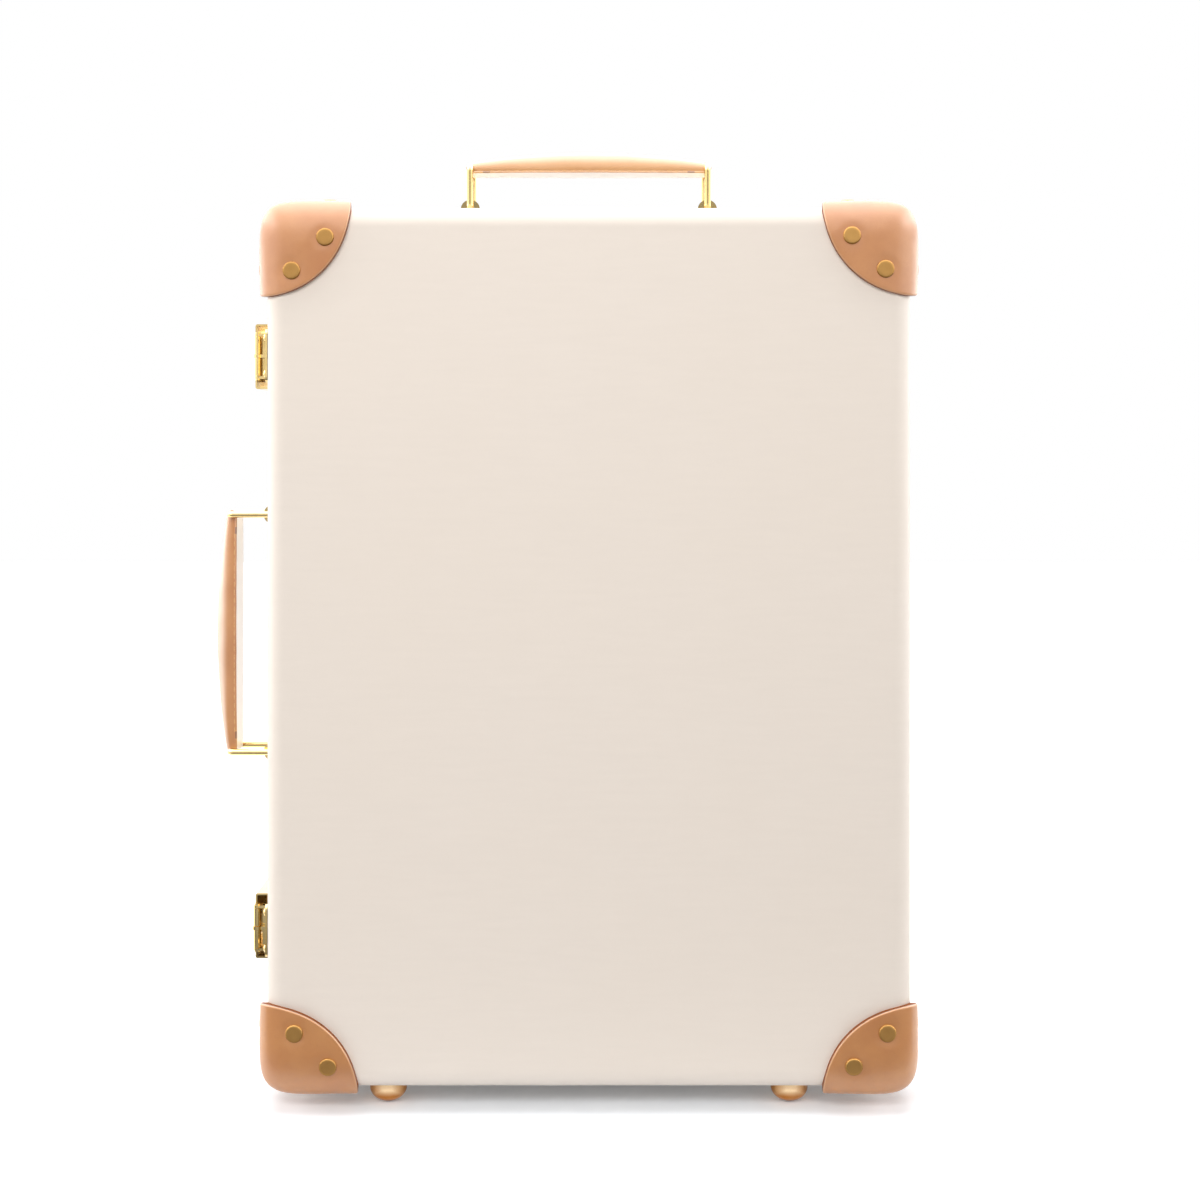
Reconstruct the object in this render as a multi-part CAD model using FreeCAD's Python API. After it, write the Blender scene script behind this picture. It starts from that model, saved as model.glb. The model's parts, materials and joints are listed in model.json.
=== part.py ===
import FreeCAD, Part
import math
import os
from FreeCAD import Placement, Rotation, Vector

# A carry-on trolley case: two vulcanised-fibre trays hinged along one long side.
# Millimetres. +Z is up and the origin is on the floor under the middle of the case;
# -Y is the lid's face, -X the latch side and +X the hinge side.

# Trays
CASE_WIDTH = 392.0
CASE_HEIGHT = 535.0
CASE_DEPTH = 193.0
LID_DEPTH = 66.0
FLOOR_GAP = 15.0
FITTING_RISE = 2.0        # side handle, latches and hinges above the middle of the case
WALL = 2.4
CORNER_RADIUS = 14.5      # between two side walls
FACE_RADIUS = 12.0        # between a side wall and the lid's face
EDGE_RADIUS = 8.0         # between a side wall and the back
FRAME_THICK = 6.0         # wooden frame round each tray's mouth
LID_FRAME_DEPTH = 14.5
BASE_FRAME_DEPTH = 12.5
TONGUE = 8.0              # reach of the base frame into the lid
TONGUE_CLEARANCE = 0.8
TONGUE_GAP = 1.0
LINING = 1.5

# Fits
FIT = 0.05                # round a rivet, a pin or a bearing
SNUG = 0.1                # round a moulding let into the fibre
SEAT = 0.3                # between pieces laid against each other
PIVOT_FIT = 0.08          # round a handle loop in its saddle and its grip
LAP = 0.5                 # overlap of two forms of one casting
OVERCUT = 5.0             # how far a cutter runs past what it cuts
TOLERANCE = 1e-3

# Leather corners
LEATHER = 4.2
LEATHER_REACH = 59.0      # round edge of the leather, from its outermost point
LEATHER_BEVEL = 1.2
RIVET_HEAD_RADIUS = 5.4
RIVET_HEAD_HEIGHT = 1.2
RIVET_SHANK_RADIUS = 2.0
RIVET_NEAR = 21.3
RIVET_MID = 26.0
RIVET_FAR = 41.5

# Small round-headed rivets of the metal fittings
STUD_HEAD_RADIUS = 2.8
STUD_HEAD_HEIGHT = 1.4
STUD_CROWN_RADIUS = 0.85
STUD_BOW = (2.2, 0.95)    # a point on the dome, as radius and height
STUD_SHANK_RADIUS = 1.5
PLATE = 1.4               # sheet of the metal fittings

# Front feet
FOOT_X = 124.0
FOOT_FROM_FACE = 30.0
FOOT_RADIUS = 11.5
FOOT_FLAT_RADIUS = 3.5
FOOT_FLANGE_RADIUS = 13.5
FOOT_FLANGE = 1.6
FOOT_STUD_RADIUS = 2.5
FOOT_BOW_ANGLE = 40.0

# Carrying handles, heights above the wall that carries them
HANDLE_HALF_SPAN = 76.4
LOOP_ROD_RADIUS = 2.0
LOOP_HALF_WIDTH = 17.5
LOOP_BEND = 3.0
PIVOT_HEIGHT = 7.5
GRIP_BAR_HEIGHT = 35.1
BRACKET_RADIUS = 6.2
BRACKET_HALF_LENGTH = 14.2
BRACKET_PLATE_HALF = 15.0
BRACKET_CORNER = 4.0
BRACKET_STUD_ALONG = 10.6
BRACKET_STUD_ACROSS = 10.0
GRIP_EYE_RADIUS = 3.8
GRIP_CROWN = 10.3         # top of the grip above the loop bar, at the middle
GRIP_END_HALF_WIDTH = 12.6
GRIP_MID_HALF_WIDTH = 15.0
GRIP_SHOULDER = 0.35      # height of the grip's straight sides, as a share of its crown
GRIP_FULLNESS = 0.8       # below 1, the grip swells quickly from its ends
GRIP_STATIONS = (-1.0, -0.75, -0.4, 0.0, 0.4, 0.75, 1.0)

# Latches on the left wall; "out" is measured from the wall, depth along Y
LATCH_OFFSET = 175.5      # above and below the side handle
BARREL_FROM_FACE = 20.0
BARREL_OUT = 7.6
BARREL_RADIUS = 2.3
LUG_RADIUS = 3.2
LUG_HALF = 1.0
LUG_STEM_HALF = 2.0
END_LUG = 1.6
KNUCKLE_END = 12.0
LATCH_PIN_RADIUS = 1.0
PIN_HEAD = 0.8
LEAF_AHEAD = 10.5
LEAF_HALF = 16.0
LEAF_CORNER = 3.0
LEAF_WEB = 1.2            # upright of the leaf behind the knuckles
LEAF_WEB_OUT = 5.0
LATCH_STUD_AHEAD = 7.0
LATCH_STUD_OFFSET = 11.0
HASP_OUT = 9.6
HASP_SHEET = 1.1
HASP_HALF = 20.0
HASP_RIM = 1.4
HASP_FOOT = 2.0
HASP_FRONT_GAP = 4.5
HASP_OVERLAP = 21.0       # reach of the hasp past the parting line
HASP_ARM_LAP = 2.6
STAPLE_HALF = 1.5
STAPLE_REACH = 3.5
STAPLE_CLEARANCE = 0.5

# Locks on the base, under the hasps
LOCK_FROM_PARTING = 2.0
LOCK_OUT = 7.0
LOCK_HALF = 14.4
LOCK_DEPTH = 36.5
LOCK_CORNER = 3.0
LOCK_RIM = 1.2
LOCK_ROOF = 1.5
LOCK_FLOOR = 0.4
LOCK_TAIL = 9.0           # plate behind the lock case
LOCK_TAIL_STUD = 5.0
LOCK_TAIL_STUD_OFFSET = 12.4
LOCK_SIDE_STUD = 12.0
LOCK_PLATE_CORNER = 4.0
SLOT_HALF = 2.2
SLOT_BEHIND = 5.0
BOLT_OUT = 4.2
BOLT_RADIUS = 1.2
BOLT_FROM_PARTING = 14.0
BOLT_TRAVEL = 6.0
BOLT_GAP = 0.4            # between the drawn bolt and the staple slot
BOLT_ROOT = 9.0
BOLT_SOCKET = 5.2
CARRIAGE_HALF = 3.9
CARRIAGE_TOP = 12.9
CARRIAGE_FOOT = 1.9
CARRIAGE_ARM = 4.4
ARM_HALF = 1.6
THUMB_FROM_REAR = 8.0
THUMB_HALF = 2.4
THUMB_PROUD = 2.6
THUMB_HEIGHTS = (-1.5, 7.5)
THUMB_RIM = 1.0

# Hinges on the right wall
HINGE_OUT = 4.5
HINGE_RADIUS = 4.0
HINGE_HALF = 22.0
HINGE_LEAF = 22.0
HINGE_CORNER = 4.0
HINGE_STUD = 14.0
HINGE_PIN_RADIUS = 1.7
HINGE_PIN_END = 1.0
FINIAL_RADIUS = 3.0
KNUCKLES = 5

# Wheels
WHEEL_X = 120.0
WHEEL_Y = 73.5
WHEEL_RADIUS = 25.0
WHEEL_HALF = 10.0
TYRE_SHOULDER = 3.2
TYRE_LIP = 1.0
HUB_RADIUS = 18.0
HUB_HALF = WHEEL_HALF - TYRE_LIP
HUB_WEB_HALF = 3.0
HUB_BOSS_RADIUS = 10.5
HUB_RIM_RADIUS = 15.5
HUB_DRAFT = 1.0
BEARING_RADIUS = 7.5
BEARING_WIDTH = 5.0
BEARING_FIT = 0.02
AXLE_RADIUS = 3.0
AXLE_HEAD = 1.6
SPACER_WALL = 1.5
WELL_RADIUS = 27.5
WELL_HALF = 12.0
HOUSING_WALL = 2.0
HOUSING_FLANGE = 1.4
HOUSING_FLANGE_HALF = 19.0
HOUSING_FLANGE_WIDTH = 6.0

# Pull-out handle
TUBE_X = 66.0
TUBE_Y = 76.0
GUIDE_RADIUS = 8.0
GUIDE_BORE = 7.2
GUIDE_FOOT = 62.0
LOWER_RADIUS = 6.9
LOWER_BORE = 5.8
LOWER_FOOT = 100.0
LOWER_COLLAR = 5.0
UPPER_RADIUS = 5.5
UPPER_BORE = 4.3
UPPER_FOOT = 104.0
ROD_RADIUS = 2.0
ROD_FOOT = 120.0
CUP_HALF = 94.0
CUP_Y = (54.0, 85.4)
CUP_CORNER = 6.0
CUP_WALL = 1.6
CUP_DEPTH = 24.0
CUP_FLANGE = 1.2
CUP_FLANGE_SIDE = 5.0
CUP_FLANGE_FRONT = 4.0
CUP_FLANGE_BACK = 3.0
CUP_FLANGE_CORNER = 9.0
CUP_FLANGE_RIM = 0.8
SLEEVE_WALL = 1.0
SLEEVE_LENGTH = 18.0
SHOE_SIDE = 14.0
SHOE_BELOW = 12.0
SHOE_ABOVE = 10.0
SHOE_CORNER = 2.0
PULL_HALF = 84.0
PULL_HALF_DEPTH = 8.0
PULL_HEIGHT = 22.0
PULL_PROUD = 6.0
PULL_CORNER = 7.0
PULL_RIM = 4.5
SOCKET_DEPTH = 6.0
YOKE_RISE = 11.0          # foot of the yoke above the bottom of the grip
YOKE_HEIGHT = 4.0
YOKE_HALF_DEPTH = 2.6
YOKE_PAST_TUBE = 3.0
YOKE_CLEARANCE = 0.4
YOKE_END_CLEARANCE = 1.0
BUTTON_HALF = 16.0
BUTTON_HALF_DEPTH = 5.0
BUTTON_CORNER = 4.0
BUTTON_RIM = 1.0
BUTTON_PROUD = 1.5
BUTTON_TRAVEL = 3.0
BACK_BOARD = 2.5
BOARD_MARGIN = 3.0
BULGE_GAP = 2.0           # lining clear of the handle cup and the wheel wells

# Derived
LEFT, RIGHT = -CASE_WIDTH / 2, CASE_WIDTH / 2
FRONT, BACK = -CASE_DEPTH / 2, CASE_DEPTH / 2
BOTTOM, TOP = FLOOR_GAP, FLOOR_GAP + CASE_HEIGHT
MIDDLE = (BOTTOM + TOP) / 2
LEVEL = MIDDLE + FITTING_RISE
PARTING = FRONT + LID_DEPTH
LID_FRAME_MOUTH = PARTING - TONGUE - TONGUE_GAP
LID_FRAME_FLOOR = LID_FRAME_MOUTH - LID_FRAME_DEPTH
BASE_FRAME_REAR = PARTING + BASE_FRAME_DEPTH
BARREL_Y = FRONT + BARREL_FROM_FACE
LATCH_END = KNUCKLE_END + SEAT + END_LUG
WEB_Y = (BARREL_Y + BARREL_RADIUS + SEAT, BARREL_Y + BARREL_RADIUS + SEAT + LEAF_WEB)
HASP_FRONT = BARREL_Y + HASP_FRONT_GAP
HASP_REAR = PARTING + HASP_OVERLAP
LOCK_FRONT = PARTING + LOCK_FROM_PARTING
LOCK_REAR = LOCK_FRONT + LOCK_DEPTH
BOLT_Y = PARTING + BOLT_FROM_PARTING
THUMB_Y = LOCK_REAR - THUMB_FROM_REAR
HINGE_X = RIGHT + HINGE_OUT
FOOT_Y = FRONT + FOOT_FROM_FACE
WELL_OUTER = WELL_RADIUS + HOUSING_WALL
HOUSING_HALF = WELL_HALF + HOUSING_WALL
CUP_FLOOR = TOP - CUP_DEPTH
SLEEVE_RADIUS = GUIDE_RADIUS + SLEEVE_WALL
PULL_TOP = TOP + PULL_PROUD
PULL_BOTTOM = PULL_TOP - PULL_HEIGHT
SOCKET_TOP = PULL_BOTTOM + SOCKET_DEPTH
YOKE = (PULL_BOTTOM + YOKE_RISE, PULL_BOTTOM + YOKE_RISE + YOKE_HEIGHT)
BOARD_REAR = TUBE_Y - SLEEVE_RADIUS - SEAT
BOARD_Y = (BOARD_REAR - BACK_BOARD, BOARD_REAR)
BOARD_Z = (WHEEL_RADIUS + WELL_OUTER + BOARD_MARGIN, CUP_FLOOR - SLEEVE_LENGTH - BOARD_MARGIN)
LID_LINING_RADIUS = FACE_RADIUS - WALL - SEAT
BASE_LINING_RADIUS = EDGE_RADIUS - WALL - SEAT
LATCH_HEIGHTS = {"upper": LEVEL + LATCH_OFFSET, "lower": LEVEL - LATCH_OFFSET}
HINGE_HEIGHTS = (LEVEL - LATCH_OFFSET, LEVEL, LEVEL + LATCH_OFFSET)
CORNERS = {"top_left": (-1, 1), "top_right": (1, 1), "bottom_left": (-1, -1), "bottom_right": (1, -1)}
X_AXIS, Y_AXIS, Z_AXIS = Vector(1, 0, 0), Vector(0, 1, 0), Vector(0, 0, 1)
TOP_HANDLE = Placement(Vector(0, 0, TOP), Rotation())
SIDE_HANDLE = Placement(Vector(LEFT, 0, LEVEL), Rotation(Y_AXIS, -90))


def box(x, y, z):
    """A box from its low and high coordinate on each axis."""
    return Part.makeBox(x[1] - x[0], y[1] - y[0], z[1] - z[0], Vector(x[0], y[0], z[0]))


def around(centre, half):
    return (centre - half, centre + half)


def side_box(out, y, z):
    """A box on the left wall, from its distances out from that wall."""
    return box((LEFT - out[1], LEFT - out[0]), y, z)


def rod(start, end, radius):
    line = end - start
    return Part.makeCylinder(radius, line.Length, start, line)


def straight_edges(shape, direction):
    """The straight edges that run along a direction."""
    found = []
    for edge in shape.Edges:
        if edge.Curve.TypeId != "Part::GeomLine":
            continue
        start, end = [vertex.Point for vertex in edge.Vertexes]
        if (end - start).cross(direction).Length < TOLERANCE:
            found.append(edge)
    return found


def level_edges(shape, axis, value):
    """The edges that lie wholly at one coordinate of an axis."""
    found = []
    for edge in shape.Edges:
        low = getattr(edge.BoundBox, axis + "Min")
        high = getattr(edge.BoundBox, axis + "Max")
        if abs(low - value) < TOLERANCE and abs(high - value) < TOLERANCE:
            found.append(edge)
    return found


def rounded(shape, direction, radius):
    return shape.makeFillet(radius, straight_edges(shape, direction))


def joined(first, *others):
    return first.multiFuse(list(others)).removeSplitter()


def pierced(shape, cutters):
    return shape.cut(Part.makeCompound(list(cutters)))


def placed(shape, seat):
    copy = shape.copy()
    copy.Placement = seat.multiply(copy.Placement)
    return copy


def turned_profile(points, base, outward):
    """A turned piece from (radius, distance along its axis) points; a third entry bows the line to it."""
    edges = []
    for start, end in zip(points, points[1:] + points[:1]):
        first = Vector(start[0], 0, start[1])
        last = Vector(end[0], 0, end[1])
        if len(end) == 3:
            bow = Vector(end[2][0], 0, end[2][1])
            edges.append(Part.Arc(first, bow, last).toShape())
        else:
            edges.append(Part.LineSegment(first, last).toShape())
    solid = Part.Face(Part.Wire(edges)).revolve(Vector(), Z_AXIS, 360)
    solid.Placement = Placement(base, Rotation(Z_AXIS, outward))
    return solid


# The outline of the case


def case_block(inset, front, back, round_front=0.0, round_back=0.0):
    """A slab of the case between two depths, its four walls drawn in by inset."""
    block = box((LEFT + inset, RIGHT - inset), (front, back), (BOTTOM + inset, TOP - inset))
    block = rounded(block, Y_AXIS, CORNER_RADIUS - inset)
    for depth, radius in ((front, round_front), (back, round_back)):
        if radius:
            block = block.makeFillet(radius, level_edges(block, "Y", depth))
    return block


def full_block(inset):
    return case_block(inset, FRONT + inset, BACK - inset, FACE_RADIUS - inset, EDGE_RADIUS - inset)


CASE_OUTSIDE = full_block(0.0)
LEATHER_OUTSIDE = full_block(-LEATHER)


# Rivets and where they sit: each place is a point and the direction that the head faces


def corner_rivet(place):
    """A flat rivet set on the leather, its shank through leather and fibre."""
    radius, height = RIVET_HEAD_RADIUS, RIVET_HEAD_HEIGHT
    edge = height / 2
    slack = edge * (1 - math.sqrt(0.5))
    foot_level = -LEATHER - WALL
    points = [(0, foot_level), (RIVET_SHANK_RADIUS, foot_level), (RIVET_SHANK_RADIUS, 0), (radius, 0),
              (radius, height - edge), (radius - edge, height, (radius - slack, height - slack)), (0, height)]
    return turned_profile(points, *place)


def stud(place):
    """A round-headed rivet on a metal fitting, its shank through the fitting and the fibre."""
    foot_level = -PLATE - WALL
    points = [(0, foot_level), (STUD_SHANK_RADIUS, foot_level), (STUD_SHANK_RADIUS, 0), (STUD_HEAD_RADIUS, 0),
              (STUD_CROWN_RADIUS, STUD_HEAD_HEIGHT, STUD_BOW), (0, STUD_HEAD_HEIGHT)]
    return turned_profile(points, *place)


def hole(place, radius, depth):
    """A cutter for the shank of a rivet set at a place."""
    point, outward = place
    return rod(point - outward * depth, point + outward * OVERCUT, radius + FIT)


def corner_point(side, face, up):
    """The outermost point of a leather corner, where its three flat faces would meet."""
    rise = CASE_HEIGHT / 2 + LEATHER
    return Vector(side * (RIGHT + LEATHER), face * (BACK + LEATHER), MIDDLE + up * rise)


def corner_rivet_places(side, face, up):
    """The six rivets of one leather corner, two on each of its three faces."""
    point = corner_point(side, face, up)
    places = []
    for across, rise in ((RIVET_FAR, RIVET_NEAR), (RIVET_NEAR, RIVET_FAR)):
        places.append((point - Vector(side * across, 0, up * rise), Y_AXIS * face))
    for depth, along in ((RIVET_NEAR, RIVET_FAR), (RIVET_FAR, RIVET_MID)):
        places.append((point - Vector(0, face * depth, up * along), X_AXIS * side))
        places.append((point - Vector(side * along, face * depth, 0), Z_AXIS * up))
    return places


def tray_rivet_places(face):
    places = []
    for side, up in CORNERS.values():
        places.extend(corner_rivet_places(side, face, up))
    return places


def latch_stud_places(height):
    point = Vector(LEFT - PLATE, BARREL_Y - LATCH_STUD_AHEAD, height)
    return [(point + Z_AXIS * offset, X_AXIS * -1) for offset in (-LATCH_STUD_OFFSET, LATCH_STUD_OFFSET)]


def lock_stud_places(height):
    beside = LOCK_HALF + STUD_HEAD_RADIUS + SNUG
    spots = ((LOCK_REAR - LOCK_SIDE_STUD, beside), (LOCK_REAR + LOCK_TAIL_STUD, LOCK_TAIL_STUD_OFFSET))
    places = []
    for y, offset in spots:
        for sign in (-1, 1):
            places.append((Vector(LEFT - PLATE, y, height + sign * offset), X_AXIS * -1))
    return places


def hinge_stud_places(height, direction):
    point = Vector(RIGHT + PLATE, PARTING + direction * HINGE_STUD, height)
    return [(point + Z_AXIS * offset, X_AXIS) for offset in (-HINGE_STUD, 0.0, HINGE_STUD)]


def bracket_stud_places(centre):
    places = []
    for along in (-BRACKET_STUD_ALONG, BRACKET_STUD_ALONG):
        for across in (-BRACKET_STUD_ACROSS, BRACKET_STUD_ACROSS):
            places.append((Vector(centre + along, across, PLATE), Z_AXIS))
    return places


def fitting_stud_places():
    """Where the round-headed rivets of the lid and of the base sit."""
    lid, base = [], []
    for height in HINGE_HEIGHTS:
        lid.extend(hinge_stud_places(height, -1))
        base.extend(hinge_stud_places(height, 1))
    for height in LATCH_HEIGHTS.values():
        lid.extend(latch_stud_places(height))
        base.extend(lock_stud_places(height))
    for seat in (TOP_HANDLE, SIDE_HANDLE):
        for centre in (-HANDLE_HALF_SPAN, HANDLE_HALF_SPAN):
            for point, outward in bracket_stud_places(centre):
                base.append((seat.multVec(point), seat.Rotation.multVec(outward)))
    return lid, base


LID_STUDS, BASE_STUDS = fitting_stud_places()


def shank_holes(face, studs):
    holes = [hole(place, RIVET_SHANK_RADIUS, LEATHER + WALL + OVERCUT) for place in tray_rivet_places(face)]
    return holes + [hole(place, STUD_SHANK_RADIUS, PLATE + WALL + OVERCUT) for place in studs]


# Trays, frames and linings


def wheel_cylinder(x, radius, half):
    centre = Vector(x, WHEEL_Y, WHEEL_RADIUS)
    return rod(centre - X_AXIS * half, centre + X_AXIS * half, radius)


def cup_block(grow, low, high):
    """A slab of the handle cup's outline between two heights."""
    block = box(around(0, CUP_HALF + grow), (CUP_Y[0] - grow, CUP_Y[1] + grow), (low, high))
    return rounded(block, Z_AXIS, CUP_CORNER + grow)


def lid_shell():
    outside = case_block(0, FRONT, PARTING, round_front=FACE_RADIUS)
    inside = case_block(WALL, FRONT + WALL, PARTING + OVERCUT, round_front=FACE_RADIUS - WALL)
    cutters = shank_holes(-1, LID_STUDS)
    for x in (-FOOT_X, FOOT_X):
        under = Vector(x, FOOT_Y, BOTTOM - OVERCUT)
        cutters.append(rod(under, under + Z_AXIS * (2 * OVERCUT), FOOT_STUD_RADIUS + FIT))
    return pierced(outside.cut(inside), cutters)


def base_shell():
    outside = case_block(0, PARTING, BACK, round_back=EDGE_RADIUS)
    inside = case_block(WALL, PARTING - OVERCUT, BACK - WALL, round_back=EDGE_RADIUS - WALL)
    cutters = shank_holes(1, BASE_STUDS)
    cutters.append(cup_block(CUP_WALL + SNUG, CUP_FLOOR, TOP + OVERCUT))
    for x in (-WHEEL_X, WHEEL_X):
        cutters.append(wheel_cylinder(x, WELL_OUTER + SNUG, HOUSING_HALF + SNUG))
    return pierced(outside.cut(inside), cutters)


def four_strips(block):
    """A frame of four butt-jointed wooden strips, cut from a slab of the case."""
    inset = WALL + FRAME_THICK
    depth = (FRONT, BACK)
    upright = (BOTTOM + inset, TOP - inset)
    cells = [box((LEFT, RIGHT), depth, (upright[1], TOP)), box((LEFT, RIGHT), depth, (BOTTOM, upright[0])),
             box((LEFT, LEFT + inset), depth, upright), box((RIGHT - inset, RIGHT), depth, upright)]
    return Part.makeCompound([block.common(cell).Solids[0] for cell in cells])


def lid_frame():
    return four_strips(case_block(WALL, LID_FRAME_FLOOR, LID_FRAME_MOUTH))


def base_frame():
    """The base's frame, stepped so that its front stands into the lid as a tongue."""
    seated = case_block(WALL, PARTING, BASE_FRAME_REAR)
    tongue = case_block(WALL + TONGUE_CLEARANCE, PARTING - TONGUE, PARTING + TONGUE_GAP)
    return four_strips(joined(seated, tongue))


def lid_lining():
    """Cloth lining from the lid's frame to its face."""
    floor, mouth = FRONT + WALL + SEAT, LID_FRAME_FLOOR - SEAT
    inset = WALL + SEAT
    outside = case_block(inset, floor, mouth, round_front=LID_LINING_RADIUS)
    inner_radius = LID_LINING_RADIUS - LINING
    hollow = case_block(inset + LINING, floor + LINING, mouth + OVERCUT, round_front=inner_radius)
    return outside.cut(hollow)


def bulges(grow):
    """Boxes over the handle cup and the wheel wells, as far as they stand into the base."""
    gap = BULGE_GAP + grow
    cup = CUP_WALL + gap
    boxes = [box(around(0, CUP_HALF + cup), (CUP_Y[0] - cup, BACK + OVERCUT),
                 (CUP_FLOOR - cup, TOP + OVERCUT))]
    for x in (-WHEEL_X, WHEEL_X):
        boxes.append(box(around(x, HOUSING_HALF + gap), (WHEEL_Y - WELL_OUTER - gap, BACK + OVERCUT),
                         (0, WHEEL_RADIUS + WELL_OUTER + gap)))
    return boxes


def base_lining():
    """Cloth lining from the base's frame to the back board, drawn over the cup and the wheel wells."""
    floor, mouth = BOARD_Y[0] - SEAT, BASE_FRAME_REAR + SEAT
    inset = WALL + SEAT
    outside = case_block(inset, mouth, floor, round_back=BASE_LINING_RADIUS)
    inner_radius = BASE_LINING_RADIUS - LINING
    hollow = case_block(inset + LINING, mouth - OVERCUT, floor - LINING, round_back=inner_radius)
    return pierced(outside, bulges(0.0)).cut(pierced(hollow, bulges(LINING)))


def back_board():
    """The stiff board that hides the pull-out tubes, between the wheel wells and the handle cup."""
    inset = WALL + SEAT
    return box((LEFT + inset, RIGHT - inset), BOARD_Y, BOARD_Z)


# Leather corners


def leather_corner(side, face, up):
    """Moulded leather over one corner, trimmed to a round edge and bevelled."""
    point = corner_point(side, face, up)
    skin = LEATHER_OUTSIDE.common(Part.makeSphere(LEATHER_REACH, point)).cut(CASE_OUTSIDE)
    outer = LEATHER_OUTSIDE.Shells[0]
    rim = []
    for edge in skin.Edges:
        middle = edge.valueAt((edge.FirstParameter + edge.LastParameter) / 2)
        trimmed = abs(middle.distanceToPoint(point) - LEATHER_REACH) < TOLERANCE
        if trimmed and outer.distToShape(Part.Vertex(middle))[0] < TOLERANCE:
            rim.append(edge)
    skin = skin.makeFillet(LEATHER_BEVEL, rim)
    places = corner_rivet_places(side, face, up)
    return pierced(skin, [hole(place, RIVET_SHANK_RADIUS, LEATHER + WALL) for place in places])


# Front feet


def foot(x):
    """A solid brass foot: riveted flange, short neck and a domed end with a small flat."""
    centre = math.sqrt(FOOT_RADIUS ** 2 - FOOT_FLAT_RADIUS ** 2)
    slope = math.radians(FOOT_BOW_ANGLE)
    bow = (FOOT_RADIUS * math.cos(slope), centre - FOOT_RADIUS * math.sin(slope))
    seat = FLOOR_GAP - FOOT_FLANGE
    points = [(0, 0), (FOOT_FLAT_RADIUS, 0), (FOOT_RADIUS, centre, bow), (FOOT_RADIUS, seat),
              (FOOT_FLANGE_RADIUS, seat), (FOOT_FLANGE_RADIUS, FLOOR_GAP), (FOOT_STUD_RADIUS, FLOOR_GAP),
              (FOOT_STUD_RADIUS, FLOOR_GAP + WALL), (0, FLOOR_GAP + WALL)]
    return turned_profile(points, Vector(x, FOOT_Y, 0), Z_AXIS)


# Carrying handles, drawn about the middle of their wall with +Z outwards


def handle_bracket(centre):
    """A cast saddle on a riveted plate, bored for the bar of a handle loop."""
    plate = box(around(centre, BRACKET_PLATE_HALF), around(0, BRACKET_PLATE_HALF), (0, PLATE))
    plate = rounded(plate, Z_AXIS, BRACKET_CORNER)
    block = box(around(centre, BRACKET_RADIUS), around(0, BRACKET_HALF_LENGTH), (0, PIVOT_HEIGHT))
    middle = Vector(centre, 0, PIVOT_HEIGHT)
    half = Y_AXIS * BRACKET_HALF_LENGTH
    saddle = joined(plate, block, rod(middle - half, middle + half, BRACKET_RADIUS))
    cutters = [rod(middle - half * 2, middle + half * 2, LOOP_ROD_RADIUS + PIVOT_FIT)]
    cutters.extend(hole(place, STUD_SHANK_RADIUS, PLATE + OVERCUT) for place in bracket_stud_places(centre))
    return pierced(saddle, cutters)


def handle_loop(centre):
    """A rectangular ring of brass rod, its lower bar in the saddle and its upper bar in the grip."""
    half, bend = LOOP_HALF_WIDTH, LOOP_BEND
    low, high = PIVOT_HEIGHT, GRIP_BAR_HEIGHT
    slack = bend * (1 - math.sqrt(0.5))
    corners = ((1, low, 1), (1, high, -1), (-1, high, -1), (-1, low, 1))
    start = Vector(centre, -half + bend, low)
    edges = []
    last = start
    for number, (side, level, inward) in enumerate(corners):
        on_bar = Vector(centre, side * (half - bend), level)
        on_leg = Vector(centre, side * half, level + inward * bend)
        first, second = (on_bar, on_leg) if number % 2 == 0 else (on_leg, on_bar)
        middle = Vector(centre, side * (half - slack), level + inward * slack)
        edges.append(Part.LineSegment(last, first).toShape())
        edges.append(Part.Arc(first, middle, second).toShape())
        last = second
    profile = Part.Wire(Part.makeCircle(LOOP_ROD_RADIUS, start, Y_AXIS))
    return Part.Wire(edges).makePipeShell([profile], True, True)


def grip_section(x, half_width, crown):
    """A flat-bottomed section of the leather grip with a bowed top."""
    low = Z_AXIS * (GRIP_BAR_HEIGHT - GRIP_EYE_RADIUS)
    shoulder = Z_AXIS * (GRIP_BAR_HEIGHT + crown * GRIP_SHOULDER)
    front, back = Vector(x, -half_width, 0), Vector(x, half_width, 0)
    top = Vector(x, 0, GRIP_BAR_HEIGHT + crown)
    edges = [Part.LineSegment(front + low, back + low).toShape(),
             Part.LineSegment(back + low, back + shoulder).toShape(),
             Part.Arc(back + shoulder, top, front + shoulder).toShape(),
             Part.LineSegment(front + shoulder, front + low).toShape()]
    return Part.Wire(edges)


def handle_grip():
    """A stitched leather grip, swelling towards the middle, with an eye at each end."""
    sections = []
    for station in GRIP_STATIONS:
        swell = max(math.cos(station * math.pi / 2), 0.0) ** GRIP_FULLNESS
        half_width = GRIP_END_HALF_WIDTH + (GRIP_MID_HALF_WIDTH - GRIP_END_HALF_WIDTH) * swell
        crown = GRIP_EYE_RADIUS + (GRIP_CROWN - GRIP_EYE_RADIUS) * swell
        sections.append(grip_section(station * HANDLE_HALF_SPAN, half_width, crown))
    grip = Part.makeLoft(sections, True, False)
    reach = Y_AXIS * GRIP_END_HALF_WIDTH
    eyes, bores = [], []
    for x, clearance in ((-HANDLE_HALF_SPAN, PIVOT_FIT), (HANDLE_HALF_SPAN, SEAT)):
        bar = Vector(x, 0, GRIP_BAR_HEIGHT)
        eyes.append(rod(bar - reach, bar + reach, GRIP_EYE_RADIUS))
        bores.append(rod(bar - reach * 2, bar + reach * 2, LOOP_ROD_RADIUS + clearance))
    return pierced(joined(grip, *eyes), bores)


# Latches


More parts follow.
